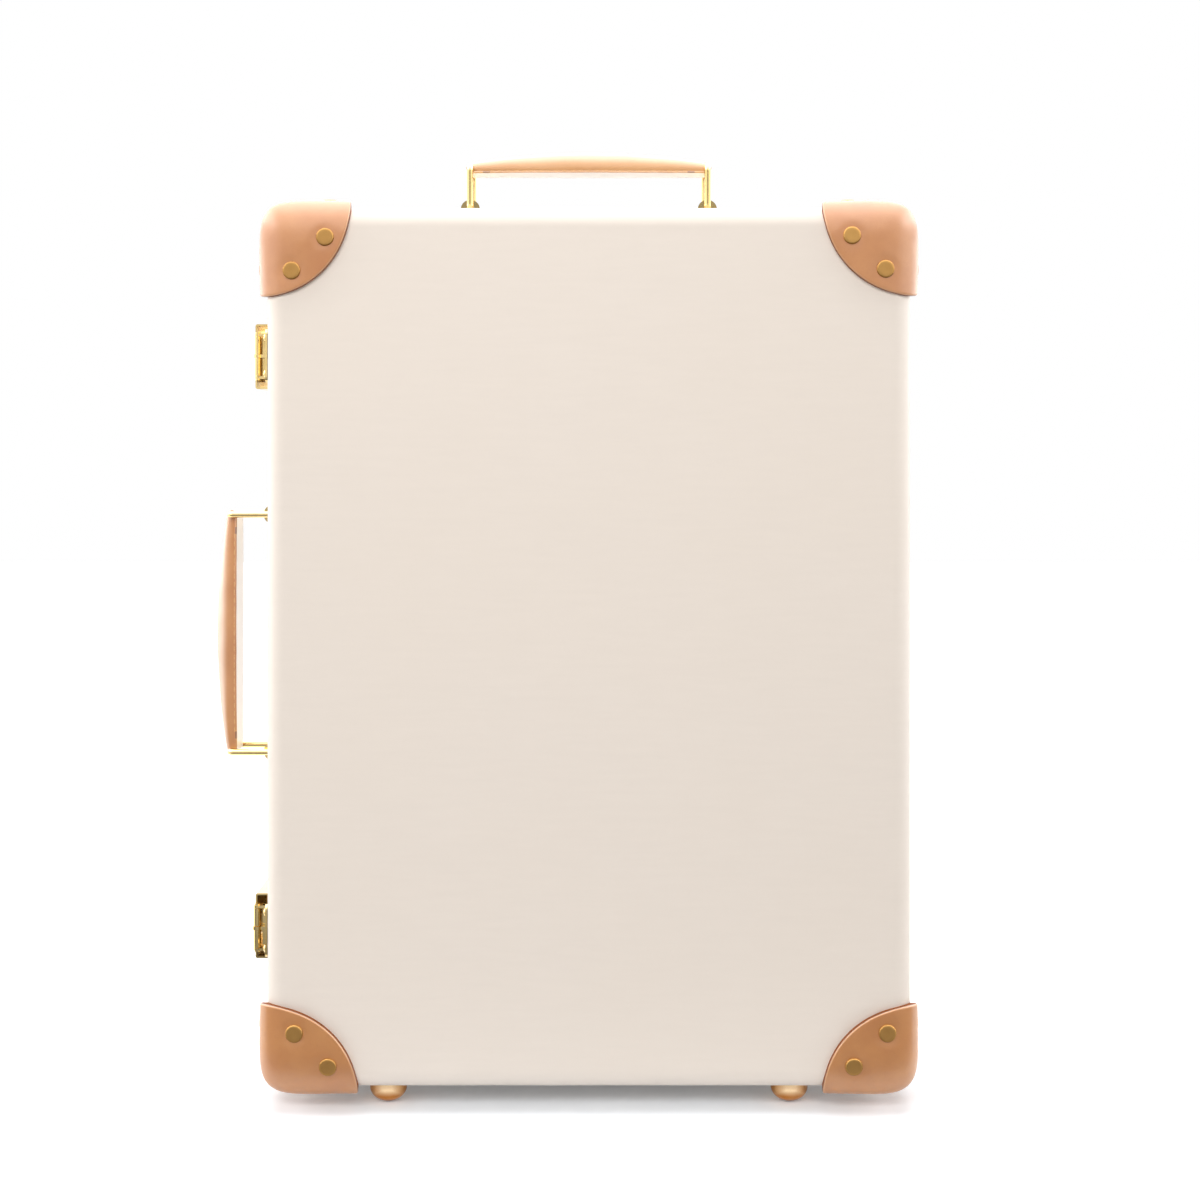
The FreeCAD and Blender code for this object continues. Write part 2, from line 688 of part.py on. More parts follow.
def barrel_rod(height, low, high, radius):
    axis = Vector(LEFT - BARREL_OUT, BARREL_Y, height)
    return rod(axis + Z_AXIS * low, axis + Z_AXIS * high, radius)


def latch_leaf(height):
    """The lid plate of a latch, turned up behind the barrel, with three lugs that carry the hasp's pin."""
    plate = side_box((0, PLATE), (BARREL_Y - LEAF_AHEAD, WEB_Y[1]), around(height, LEAF_HALF))
    plate = rounded(plate, X_AXIS, LEAF_CORNER)
    stem_out, stem_y = (0, BARREL_OUT), around(BARREL_Y, LUG_STEM_HALF)
    pieces = [side_box((0, LEAF_WEB_OUT), WEB_Y, around(height, LATCH_END)),
              barrel_rod(height, -LUG_HALF, LUG_HALF, LUG_RADIUS),
              side_box(stem_out, stem_y, around(height, LUG_HALF))]
    for low, high in ((-LATCH_END, END_LUG - LATCH_END), (LATCH_END - END_LUG, LATCH_END)):
        pieces.append(barrel_rod(height, low, high, BARREL_RADIUS))
        pieces.append(side_box(stem_out, stem_y, (height + low, height + high)))
    cutters = [hole(place, STUD_SHANK_RADIUS, PLATE + OVERCUT) for place in latch_stud_places(height)]
    cutters.append(barrel_rod(height, -HASP_HALF, HASP_HALF, LATCH_PIN_RADIUS + FIT))
    return pierced(joined(plate, *pieces), cutters)


def latch_pin(height):
    pin = barrel_rod(height, -LATCH_END, LATCH_END, LATCH_PIN_RADIUS)
    heads = []
    for low, high in ((-LATCH_END - PIN_HEAD, -LATCH_END), (LATCH_END, LATCH_END + PIN_HEAD)):
        heads.append(barrel_rod(height, low, high, LATCH_PIN_RADIUS + PIN_HEAD))
    return joined(pin, *heads)


def hasp_pan(height, shrink, ends, foot_out):
    """One skin of the pressed hasp: a channel open at both ends, with rounded ridges above and below."""
    outer = HASP_OUT - shrink
    pan = side_box((foot_out, outer), ends, around(height, HASP_HALF - shrink))
    outside = LEFT - outer
    ridges = [edge for edge in straight_edges(pan, Y_AXIS) if abs(edge.BoundBox.XMin - outside) < TOLERANCE]
    return pan.makeFillet(HASP_RIM - shrink, ridges)


def latch_hasp(height):
    """The pressed brass hasp: hinge knuckles, channel and the staple that enters the lock."""
    pan = hasp_pan(height, 0.0, (HASP_FRONT, HASP_REAR), HASP_FOOT)
    inner_ends = (HASP_FRONT - OVERCUT, HASP_REAR + OVERCUT)
    pan = pan.cut(hasp_pan(height, HASP_SHEET, inner_ends, HASP_FOOT - OVERCUT))
    staple_out = (PLATE + STAPLE_CLEARANCE, HASP_OUT - HASP_SHEET / 2)
    pieces = [side_box(staple_out, around(BOLT_Y, STAPLE_REACH), around(height, STAPLE_HALF))]
    arm_out, arm_y = (HASP_OUT - HASP_SHEET, HASP_OUT), (BARREL_Y, HASP_FRONT + HASP_ARM_LAP)
    for low, high in ((-KNUCKLE_END, -LUG_HALF - SEAT), (LUG_HALF + SEAT, KNUCKLE_END)):
        pieces.append(barrel_rod(height, low, high, BARREL_RADIUS))
        pieces.append(side_box(arm_out, arm_y, (height + low, height + high)))
    eye = Vector(LEFT - BOLT_OUT, BOLT_Y, height)
    reach = Z_AXIS * SLOT_HALF
    cutters = [rod(eye - reach, eye + reach, BOLT_RADIUS + SEAT),
               barrel_rod(height, -HASP_HALF, HASP_HALF, LATCH_PIN_RADIUS + FIT)]
    return pierced(joined(pan, *pieces), cutters)


def lock_case(height):
    """The lock on the base: plate, hollow case, staple slot open to the front and a thumb slot."""
    plate = side_box((0, PLATE), (LOCK_FRONT, LOCK_REAR + LOCK_TAIL), around(height, HASP_HALF))
    plate = rounded(plate, X_AXIS, LOCK_PLATE_CORNER)
    block = side_box((0, LOCK_OUT), (LOCK_FRONT, LOCK_REAR), around(height, LOCK_HALF))
    block = rounded(block, X_AXIS, LOCK_CORNER)
    block = block.makeFillet(LOCK_RIM, level_edges(block, "X", LEFT - LOCK_OUT))
    inside = (PLATE + LOCK_FLOOR, LOCK_OUT - LOCK_ROOF)
    carriage_y = around(THUMB_Y, CARRIAGE_HALF + SEAT)
    top = height + CARRIAGE_TOP + SEAT
    carriage_z = (height - CARRIAGE_FOOT - BOLT_TRAVEL - SEAT, top)
    slot_y = (LOCK_FRONT - OVERCUT, BOLT_Y + SLOT_BEHIND)
    arm_y = (BOLT_Y - ARM_HALF - SEAT, carriage_y[1])
    thumb_z = (height + THUMB_HEIGHTS[0] - BOLT_TRAVEL - SEAT, height + THUMB_HEIGHTS[1] + SEAT)
    bolt = Vector(LEFT - BOLT_OUT, BOLT_Y, height)
    cutters = [side_box((PLATE, LOCK_OUT + OVERCUT), slot_y, around(height, SLOT_HALF)),
               side_box(inside, carriage_y, carriage_z),
               side_box(inside, arm_y, (height + SLOT_HALF - SNUG, top)),
               side_box((inside[1] - LAP, LOCK_OUT + OVERCUT), around(THUMB_Y, THUMB_HALF + SEAT), thumb_z),
               rod(bolt - Z_AXIS * BOLT_SOCKET, bolt, BOLT_RADIUS + SEAT)]
    cutters.extend(hole(place, STUD_SHANK_RADIUS, PLATE + OVERCUT) for place in lock_stud_places(height))
    return pierced(joined(plate, block), cutters)


def lock_slide(height):
    """The sliding bolt of a lock with its thumb piece, drawn back."""
    inside = (PLATE + LOCK_FLOOR + SEAT, LOCK_OUT - LOCK_ROOF - SEAT)
    top = height + CARRIAGE_TOP
    carriage = side_box(inside, around(THUMB_Y, CARRIAGE_HALF), (height - CARRIAGE_FOOT, top))
    arm = side_box(inside, (BOLT_Y - ARM_HALF, THUMB_Y), (top - CARRIAGE_ARM, top))
    bolt = Vector(LEFT - BOLT_OUT, BOLT_Y, height)
    pin = rod(bolt + Z_AXIS * (SLOT_HALF + BOLT_GAP), bolt + Z_AXIS * BOLT_ROOT, BOLT_RADIUS)
    crown = LOCK_OUT + THUMB_PROUD
    thumb_z = (height + THUMB_HEIGHTS[0], height + THUMB_HEIGHTS[1])
    thumb = side_box((inside[1] - LAP, crown), around(THUMB_Y, THUMB_HALF), thumb_z)
    thumb = thumb.makeFillet(THUMB_RIM, level_edges(thumb, "X", LEFT - crown))
    return joined(carriage, arm, pin, thumb)


# Hinges


def hinge_rod(height, low, high, radius):
    axis = Vector(HINGE_X, PARTING, height)
    return rod(axis + Z_AXIS * low, axis + Z_AXIS * high, radius)


def hinge_leaf(height, direction):
    """One riveted leaf of a butt hinge with its share of the knuckles."""
    depth = sorted((PARTING, PARTING + direction * HINGE_LEAF))
    plate = box((RIGHT, RIGHT + PLATE), depth, around(height, HINGE_HALF))
    far = [edge for edge in straight_edges(plate, X_AXIS) if abs(edge.BoundBox.YMin - PARTING) > TOLERANCE]
    plate = plate.makeFillet(HINGE_CORNER, far)
    pitch = 2 * HINGE_HALF / KNUCKLES
    half_gap = SEAT / 2
    own, gaps = [], []
    for number in range(KNUCKLES):
        low = -HINGE_HALF + number * pitch
        if (number % 2 == 0) == (direction > 0):
            own.append(hinge_rod(height, low + half_gap, low + pitch - half_gap, HINGE_RADIUS))
        else:
            gaps.append(hinge_rod(height, low - half_gap, low + pitch + half_gap, HINGE_RADIUS + SEAT))
    cutters = [hinge_rod(height, -2 * HINGE_HALF, 2 * HINGE_HALF, HINGE_PIN_RADIUS + FIT)]
    for place in hinge_stud_places(height, direction):
        cutters.append(hole(place, STUD_SHANK_RADIUS, PLATE + OVERCUT))
    return pierced(joined(pierced(plate, gaps), *own), cutters)


def hinge_pin(height):
    """A hinge pin with a ball finial at each end."""
    end = HINGE_HALF + HINGE_PIN_END
    reach = Z_AXIS * (HINGE_HALF + FINIAL_RADIUS + SNUG)
    middle = Vector(HINGE_X, PARTING, height)
    balls = [Part.makeSphere(FINIAL_RADIUS, middle - reach), Part.makeSphere(FINIAL_RADIUS, middle + reach)]
    return joined(hinge_rod(height, -end, end, HINGE_PIN_RADIUS), *balls)


# Wheels


def wheel_housing(x):
    """A moulded wheel well let into the rear bottom edge, with a flange over the cut."""
    arch = wheel_cylinder(x, WELL_OUTER, HOUSING_HALF).common(CASE_OUTSIDE)
    skin = full_block(-HOUSING_FLANGE).cut(CASE_OUTSIDE)
    flange = skin.common(wheel_cylinder(x, WELL_OUTER + HOUSING_FLANGE_WIDTH, HOUSING_FLANGE_HALF))
    cutters = [wheel_cylinder(x, WELL_RADIUS, WELL_HALF),
               wheel_cylinder(x, AXLE_RADIUS + FIT, 2 * HOUSING_HALF)]
    return pierced(joined(arch, flange), cutters)


def wheel_axle(x):
    heads = []
    for side in (-1, 1):
        inner = Vector(x + side * HOUSING_HALF, WHEEL_Y, WHEEL_RADIUS)
        heads.append(rod(inner, inner + X_AXIS * (side * AXLE_HEAD), AXLE_RADIUS + AXLE_HEAD))
    return joined(wheel_cylinder(x, AXLE_RADIUS, HOUSING_HALF), *heads)


def wheel_piece(x, points):
    """A turned piece of a wheel from half of its (radius, distance from the middle) outline."""
    outline = points + [(radius, -along) for radius, along in reversed(points)]
    return turned_profile(outline, Vector(x, WHEEL_Y, WHEEL_RADIUS), X_AXIS)


def wheel_tyre(x):
    lip = HUB_RADIUS + TYRE_LIP
    tyre = wheel_piece(x, [(HUB_RADIUS, HUB_HALF), (lip, WHEEL_HALF), (WHEEL_RADIUS, WHEEL_HALF)])
    shoulders = [edge for side in (-1, 1) for edge in level_edges(tyre, "X", x + side * WHEEL_HALF)
                 if edge.BoundBox.ZLength > 2 * lip + TOLERANCE]
    return tyre.makeFillet(TYRE_SHOULDER, shoulders)


def wheel_hub(x):
    """A dished hub with a seat for a bearing in each side."""
    seat = BEARING_RADIUS + BEARING_FIT
    ledge = HUB_HALF - BEARING_WIDTH
    return wheel_piece(x, [(AXLE_RADIUS + SPACER_WALL, ledge), (seat, ledge), (seat, HUB_HALF),
                           (HUB_BOSS_RADIUS, HUB_HALF), (HUB_BOSS_RADIUS + HUB_DRAFT, HUB_WEB_HALF),
                           (HUB_RIM_RADIUS - HUB_DRAFT, HUB_WEB_HALF), (HUB_RIM_RADIUS, HUB_HALF),
                           (HUB_RADIUS, HUB_HALF)])


def wheel_bearings(x):
    rings = []
    for low in (HUB_HALF - BEARING_WIDTH, -HUB_HALF):
        start = Vector(x + low, WHEEL_Y, WHEEL_RADIUS)
        end = start + X_AXIS * BEARING_WIDTH
        rings.append(rod(start, end, BEARING_RADIUS).cut(rod(start, end, AXLE_RADIUS + FIT)))
    return Part.makeCompound(rings)


# Pull-out handle


def tube_rod(x, low, high, radius):
    return rod(Vector(x, TUBE_Y, low), Vector(x, TUBE_Y, high), radius)


def tubes(low, high, radius, bore):
    pair = [tube_rod(x, low, high, radius).cut(tube_rod(x, low, high, bore)) for x in (-TUBE_X, TUBE_X)]
    return Part.makeCompound(pair)


def trolley_cup():
    """The moulded cup let into the top wall, with sleeves that hold the guide tubes."""
    flange_y = (CUP_Y[0] - CUP_FLANGE_FRONT, CUP_Y[1] + CUP_FLANGE_BACK)
    flange = box(around(0, CUP_HALF + CUP_FLANGE_SIDE), flange_y, (TOP, TOP + CUP_FLANGE))
    flange = rounded(flange, Z_AXIS, CUP_FLANGE_CORNER)
    flange = flange.makeFillet(CUP_FLANGE_RIM, level_edges(flange, "Z", TOP + CUP_FLANGE))
    body = cup_block(CUP_WALL, CUP_FLOOR - CUP_WALL, TOP + CUP_FLANGE / 2)
    foot_level = CUP_FLOOR - SLEEVE_LENGTH
    sleeves = []
    cutters = [cup_block(0.0, CUP_FLOOR, TOP + OVERCUT)]
    for x in (-TUBE_X, TUBE_X):
        sleeves.append(tube_rod(x, foot_level, CUP_FLOOR - CUP_WALL / 2, SLEEVE_RADIUS))
        cutters.append(tube_rod(x, foot_level - OVERCUT, CUP_FLOOR - CUP_WALL, GUIDE_RADIUS + FIT))
        cutters.append(tube_rod(x, foot_level - OVERCUT, CUP_FLOOR + OVERCUT, GUIDE_BORE))
    return pierced(joined(flange, body, *sleeves), cutters)


def trolley_shoe():
    """The moulded shoe on the back wall that holds the feet of the guide tubes."""
    levels = (GUIDE_FOOT - SHOE_BELOW, GUIDE_FOOT + SHOE_ABOVE)
    shoe = box(around(0, TUBE_X + SHOE_SIDE), (BOARD_REAR + SNUG, BACK - WALL), levels)
    shoe = rounded(shoe, Y_AXIS, SHOE_CORNER)
    sockets = [tube_rod(x, GUIDE_FOOT, levels[1] + OVERCUT, GUIDE_RADIUS + FIT) for x in (-TUBE_X, TUBE_X)]
    return pierced(shoe, sockets)


def trolley_lower_tubes():
    """The outer draw tubes, each with a collar that rests on the floor of the cup."""
    pair = []
    top = CUP_FLOOR + LOWER_COLLAR
    for x in (-TUBE_X, TUBE_X):
        tube = joined(tube_rod(x, LOWER_FOOT, top, LOWER_RADIUS), tube_rod(x, CUP_FLOOR, top, GUIDE_RADIUS))
        pair.append(tube.cut(tube_rod(x, LOWER_FOOT, top, LOWER_BORE)))
    return Part.makeCompound(pair)


def trolley_grip():
    """The moulded pull grip: tube sockets, a hidden channel for the yoke and a pocket for the button."""
    bar = box(around(0, PULL_HALF), around(TUBE_Y, PULL_HALF_DEPTH), (PULL_BOTTOM, PULL_TOP))
    bar = rounded(bar, Y_AXIS, PULL_CORNER)
    rims = level_edges(bar, "Y", TUBE_Y - PULL_HALF_DEPTH) + level_edges(bar, "Y", TUBE_Y + PULL_HALF_DEPTH)
    bar = bar.makeFillet(PULL_RIM, rims)
    clear = YOKE_CLEARANCE
    channel_x = around(0, TUBE_X + YOKE_PAST_TUBE + YOKE_END_CLEARANCE)
    channel_z = (YOKE[0] - BUTTON_TRAVEL - YOKE_END_CLEARANCE, YOKE[1] + clear)
    pocket_z = (YOKE[1] - BUTTON_TRAVEL - clear, PULL_TOP + OVERCUT)
    cutters = [box(channel_x, around(TUBE_Y, YOKE_HALF_DEPTH + clear), channel_z),
               box(around(0, BUTTON_HALF + clear), around(TUBE_Y, BUTTON_HALF_DEPTH + clear), pocket_z)]
    for x in (-TUBE_X, TUBE_X):
        cutters.append(tube_rod(x, PULL_BOTTOM - OVERCUT, SOCKET_TOP, UPPER_RADIUS + FIT))
        cutters.append(tube_rod(x, PULL_BOTTOM, YOKE[0], ROD_RADIUS + SEAT))
    return pierced(bar, cutters)


def trolley_button():
    top = PULL_TOP + BUTTON_PROUD
    button = box(around(0, BUTTON_HALF), around(TUBE_Y, BUTTON_HALF_DEPTH), (YOKE[1], top))
    button = rounded(button, Z_AXIS, BUTTON_CORNER)
    return button.makeFillet(BUTTON_RIM, level_edges(button, "Z", top))


def trolley_release_rods():
    """The yoke under the button and the two rods that run down the tubes to the catches."""
    yoke = box(around(0, TUBE_X + YOKE_PAST_TUBE), around(TUBE_Y, YOKE_HALF_DEPTH), YOKE)
    rods = [tube_rod(x, ROD_FOOT, YOKE[0] + YOKE_HEIGHT / 2, ROD_RADIUS) for x in (-TUBE_X, TUBE_X)]
    return joined(yoke, *rods)


def shapes():
    """Every piece of the case by name."""
    found = {
        "lid_shell": lid_shell(),
        "lid_frame": lid_frame(),
        "lid_lining": lid_lining(),
        "base_shell": base_shell(),
        "base_frame": base_frame(),
        "base_lining": base_lining(),
        "back_board": back_board(),
        "lid_corner_rivets": Part.makeCompound([corner_rivet(place) for place in tray_rivet_places(-1)]),
        "base_corner_rivets": Part.makeCompound([corner_rivet(place) for place in tray_rivet_places(1)]),
        "lid_fitting_rivets": Part.makeCompound([stud(place) for place in LID_STUDS]),
        "base_fitting_rivets": Part.makeCompound([stud(place) for place in BASE_STUDS]),
        "front_feet": Part.makeCompound([foot(-FOOT_X), foot(FOOT_X)]),
        "lid_hinge_leaves": Part.makeCompound([hinge_leaf(height, -1) for height in HINGE_HEIGHTS]),
        "base_hinge_leaves": Part.makeCompound([hinge_leaf(height, 1) for height in HINGE_HEIGHTS]),
        "hinge_pins": Part.makeCompound([hinge_pin(height) for height in HINGE_HEIGHTS]),
        "latch_pins": Part.makeCompound([latch_pin(height) for height in LATCH_HEIGHTS.values()]),
        "wheel_axles": Part.makeCompound([wheel_axle(-WHEEL_X), wheel_axle(WHEEL_X)]),
        "trolley_cup": trolley_cup(),
        "trolley_shoe": trolley_shoe(),
        "trolley_guide_tubes": tubes(GUIDE_FOOT, CUP_FLOOR - CUP_WALL, GUIDE_RADIUS, GUIDE_BORE),
        "trolley_lower_tubes": trolley_lower_tubes(),
        "trolley_upper_tubes": tubes(UPPER_FOOT, SOCKET_TOP, UPPER_RADIUS, UPPER_BORE),
        "trolley_grip": trolley_grip(),
        "trolley_button": trolley_button(),
        "trolley_release_rods": trolley_release_rods(),
    }
    for name, (side, up) in CORNERS.items():
        found["lid_corner_" + name] = leather_corner(side, -1, up)
        found["base_corner_" + name] = leather_corner(side, 1, up)
    for name, height in LATCH_HEIGHTS.items():
        found[name + "_latch_leaf"] = latch_leaf(height)
        found[name + "_latch_hasp"] = latch_hasp(height)
        found[name + "_lock_case"] = lock_case(height)
        found[name + "_lock_slide"] = lock_slide(height)
    handles = {"top": (TOP_HANDLE, "left", "right"), "side": (SIDE_HANDLE, "lower", "upper")}
    for name, (seat, first, second) in handles.items():
        brackets = [handle_bracket(-HANDLE_HALF_SPAN), handle_bracket(HANDLE_HALF_SPAN)]
        found[name + "_handle_brackets"] = Part.makeCompound([placed(bracket, seat) for bracket in brackets])
        found[name + "_handle_loop_" + first] = placed(handle_loop(-HANDLE_HALF_SPAN), seat)
        found[name + "_handle_loop_" + second] = placed(handle_loop(HANDLE_HALF_SPAN), seat)
        found[name + "_handle_grip"] = placed(handle_grip(), seat)
    for name, x in (("left", -WHEEL_X), ("right", WHEEL_X)):
        found["wheel_housing_" + name] = wheel_housing(x)
        found["wheel_hub_" + name] = wheel_hub(x)
        found["wheel_tyre_" + name] = wheel_tyre(x)
        found["wheel_bearings_" + name] = wheel_bearings(x)
    return found


os.makedirs("parts", exist_ok=True)
for name, shape in shapes().items():
    shape.exportStep("parts/" + name + ".step")
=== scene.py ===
"""Looks of a carry-on trolley case, built on its solids. Metres, +Z up, -Y is the lid's face."""
import json
import math

import bmesh
import bpy
import numpy as np
from mathutils import Matrix, Vector, noise


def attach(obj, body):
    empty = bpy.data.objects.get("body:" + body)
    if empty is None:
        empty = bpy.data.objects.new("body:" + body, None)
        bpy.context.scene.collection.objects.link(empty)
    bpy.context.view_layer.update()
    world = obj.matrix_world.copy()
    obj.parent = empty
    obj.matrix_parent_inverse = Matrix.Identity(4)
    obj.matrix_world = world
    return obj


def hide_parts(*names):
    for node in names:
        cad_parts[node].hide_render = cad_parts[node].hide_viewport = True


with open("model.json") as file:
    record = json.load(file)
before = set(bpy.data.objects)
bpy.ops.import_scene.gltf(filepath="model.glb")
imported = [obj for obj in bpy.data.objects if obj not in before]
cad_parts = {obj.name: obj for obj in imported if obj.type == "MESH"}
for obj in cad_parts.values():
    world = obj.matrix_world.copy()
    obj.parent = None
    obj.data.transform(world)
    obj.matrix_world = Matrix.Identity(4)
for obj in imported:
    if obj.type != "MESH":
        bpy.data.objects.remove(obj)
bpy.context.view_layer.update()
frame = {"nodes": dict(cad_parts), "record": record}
nodes = frame["nodes"]

# Sizes of the solids that the looks follow
MM = 0.001
HALF_WIDTH = 196 * MM
HALF_HEIGHT = 267.5 * MM
HALF_DEPTH = 96.5 * MM
MIDDLE = 282.5 * MM
LEVEL = 284.5 * MM
PARTING = -30.5 * MM
WALL = 2.4 * MM
CORNER_RADIUS = 14.5 * MM
FACE_RADIUS, EDGE_RADIUS = 12 * MM, 8 * MM
LEATHER = 4.2 * MM
LEATHER_REACH = 59 * MM
RIVET_NEAR, RIVET_MID, RIVET_FAR = 21.3 * MM, 26 * MM, 41.5 * MM
FOOT_X, FOOT_Y = 124 * MM, -66.5 * MM
TOP = MIDDLE + HALF_HEIGHT
PLATE = 1.4 * MM
HANDLE_SPAN = 76.4 * MM
GRIP_BAR = 35.1 * MM
GRIP_EYE = 3.8 * MM
GRIP_CROWN = 10.3 * MM
GRIP_END_HALF, GRIP_MID_HALF = 12.6 * MM, 15 * MM
LATCH_OFFSET = 175.5 * MM
WHEEL_X, WHEEL_Y, WHEEL_Z = 120 * MM, 73.5 * MM, 25 * MM
TUBE_X, TUBE_Y = 66 * MM, 76 * MM
CORNERS = {"top_left": (-1, 1), "top_right": (1, 1), "bottom_left": (-1, -1), "bottom_right": (1, -1)}

# Materials


def srgb(red, green, blue):
    """A linear colour from its 8-bit screen values."""
    linear = []
    for value in (red, green, blue):
        share = value / 255
        linear.append(share / 12.92 if share <= 0.04045 else ((share + 0.055) / 1.055) ** 2.4)
    return (*linear, 1.0)


class Nodes:
    """A node tree and the kinds of node that finishes and the studio share."""

    def __init__(self, tree):
        self.tree = tree

    def set(self, node, values):
        """Sets or links each named input."""
        for socket, value in values.items():
            if isinstance(value, bpy.types.NodeSocket):
                self.tree.links.new(value, node.inputs[socket])
            else:
                node.inputs[socket].default_value = value

    def node(self, kind, output, values, **settings):
        """One output of a new node."""
        node = self.tree.nodes.new("ShaderNode" + kind)
        for name, value in settings.items():
            setattr(node, name, value)
        self.set(node, values)
        return node.outputs[output]

    def split(self, vector):
        return [self.node("SeparateXYZ", axis, {"Vector": vector}) for axis in "XYZ"]

    def ray(self, kind):
        """1 where a surface is met by this kind of ray, otherwise 0."""
        return self.node("LightPath", "Is " + kind + " Ray", {})

    def levels(self, value, low, high, out_low=0.0, out_high=1.0):
        ends = {"From Min": low, "From Max": high, "To Min": out_low, "To Max": out_high}
        return self.node("MapRange", "Result", {"Value": value, **ends})

    def math(self, operation, first, second):
        return self.node("Math", "Value", {0: first, 1: second}, operation=operation)

    def size(self, value):
        return self.math("ABSOLUTE", value, 0.0)

    def product(self, first, second):
        return self.math("MULTIPLY", first, second)

    def larger(self, first, second):
        return self.math("MAXIMUM", first, second)

    def beyond(self, value, limit):
        """How far a value lies outside a limit on either side of zero."""
        return self.larger(self.math("SUBTRACT", self.size(value), limit), 0.0)

    def band(self, value, start, end):
        """A tone that a value rises into and falls out of."""
        return self.product(self.levels(value, *start), self.levels(value, *end))

    def mix(self, share, first, second):
        """A number between two numbers."""
        return self.node("Mix", 0, {0: share, 2: first, 3: second})

    def blend(self, share, first, second):
        """A colour between two colours."""
        return self.node("Mix", 2, {0: share, 6: first, 7: second}, data_type="RGBA")


class Finish(Nodes):
    """A material and the kinds of node that its pattern is made of."""

    def __init__(self, name, color, roughness, metallic=0.0, **sockets):
        self.material = bpy.data.materials.new(name)
        self.material.use_nodes = True
        super().__init__(self.material.node_tree)
        self.shader = self.tree.nodes["Principled BSDF"]
        self.set(self.shader, {"Base Color": color, "Roughness": roughness, "Metallic": metallic, **sockets})
        self.coordinates = self.node("TexCoord", "Object", {})

    def stretched(self, x, y, z):
        return self.node("Mapping", "Vector", {"Vector": self.coordinates, "Scale": (x, y, z)})

    def noise(self, scale, detail=3.0, roughness=0.55, vector=None):
        grain = {"Scale": scale, "Detail": detail, "Roughness": roughness}
        return self.node("TexNoise", "Fac", {"Vector": vector or self.coordinates, **grain})

    def cells(self, scale):
        return self.node("TexVoronoi", "Distance", {"Vector": self.coordinates, "Scale": scale})

    def weave(self, scale, direction):
        bands = {"Vector": self.coordinates, "Scale": scale, "Distortion": 0.6, "Detail": 1.0}
        return self.node("TexWave", "Fac", bands, wave_type="BANDS", bands_direction=direction)

    def attribute(self, name):
        return self.node("Attribute", "Fac", {}, attribute_name=name)

    def bump(self, height, strength, distance, normal=None):
        values = {"Height": height, "Strength": strength, "Distance": distance}
        if normal:
            values["Normal"] = normal
        return self.node("Bump", "Normal", values)

    def finish(self, **sockets):
        self.set(self.shader, {name.replace("_", " "): value for name, value in sockets.items()})
        return self.material


def fibre_finish():
    """Ivory vulcanised fibre: a hard lacquered sheet with the faintest paper streaks."""
    look = Finish("fibre", srgb(230, 219, 208), 0.45, **{"Specular IOR Level": 0.65})
    streaks = look.noise(1.0, 4.0, 0.6, look.stretched(30, 30, 260))
    clouds = look.noise(6.0, 3.0)
    flecks = look.noise(900.0, 2.0)
    color = look.blend(look.levels(streaks, 0.3, 0.7), srgb(229, 218, 207), srgb(231, 220, 209))
    color = look.blend(look.levels(clouds, 0.35, 0.65, 0.0, 0.3), color, srgb(228, 216, 203))
    color = look.blend(look.levels(flecks, 0.64, 0.74, 0.0, 0.1), color, srgb(214, 198, 180))
    grain = look.bump(look.noise(650.0, 4.0, 0.6), 0.05, 0.0004)
    waves = look.bump(look.noise(7.0, 1.0), 0.06, 0.0025, grain)
    return look.finish(Base_Color=color, Roughness=look.levels(clouds, 0.3, 0.7, 0.41, 0.49), Normal=waves)


def leather_finish(name, dark, mid, light):
    """Vegetable-tanned leather: mottled dye, pores, fine creases, pale painted highlights where a piece asks
    for them, a painted highlight band inside the cut edge and a burnished edge.
    """
    wax = {"Specular IOR Level": 0.05, "Coat Weight": 1.0, "Coat IOR": 2.0, "Coat Roughness": 0.33}
    look = Finish(name, mid, 0.5, **wax)
    clouds = look.noise(30.0, 4.0, 0.6)
    specks = look.noise(420.0, 3.0, 0.65)
    color = look.blend(look.levels(clouds, 0.32, 0.68), dark, light)
    color = look.blend(0.55, color, mid)
    color = look.blend(look.levels(specks, 0.55, 0.8, 0.0, 0.25), color, dark)
    # painted highlight: pale where a piece's own share asks for it, as along a grip's back
    color = look.blend(look.levels(look.attribute("painted_light"), 0.0, 1.0, 0.0, 0.8), color, srgb(240, 210, 186))
    edge = look.attribute("edge")
    # painted highlight: a light band just inside a corner's cut edge, standing for light caught by its
    # rounded bevel; on a grip it fringes the darkened groove
    color = look.blend(look.levels(edge, 0.5, 0.75, 0.0, 0.4), color, srgb(222, 170, 122))
    # a burnished dark rim at a corner's cut edge; on a grip, darker along the groove and in a patch low near
    # each end
    color = look.blend(look.levels(edge, 0.84, 0.95), color, srgb(118, 70, 38))
    pores = look.cells(1700.0)
    creases = look.noise(260.0, 6.0, 0.7, look.stretched(1.0, 1.4, 0.8))
    skin = look.bump(look.levels(pores, 0.0, 0.5), 0.12, 0.0003)
    skin = look.bump(creases, 0.16, 0.0006, skin)
    return look.finish(Base_Color=color, Roughness=look.levels(specks, 0.3, 0.7, 0.42, 0.56), Normal=skin)


def cut_leather_finish():
    """The burnished cut edge of thick leather, with its layers."""
    look = Finish("leather_edge", srgb(135, 78, 40), 0.6, **{"Specular IOR Level": 0.1})
    layers = look.noise(900.0, 3.0, 0.6)
    color = look.blend(look.levels(layers, 0.3, 0.7), srgb(112, 60, 28), srgb(158, 94, 52))
    return look.finish(Base_Color=color, Normal=look.bump(layers, 0.3, 0.0004))


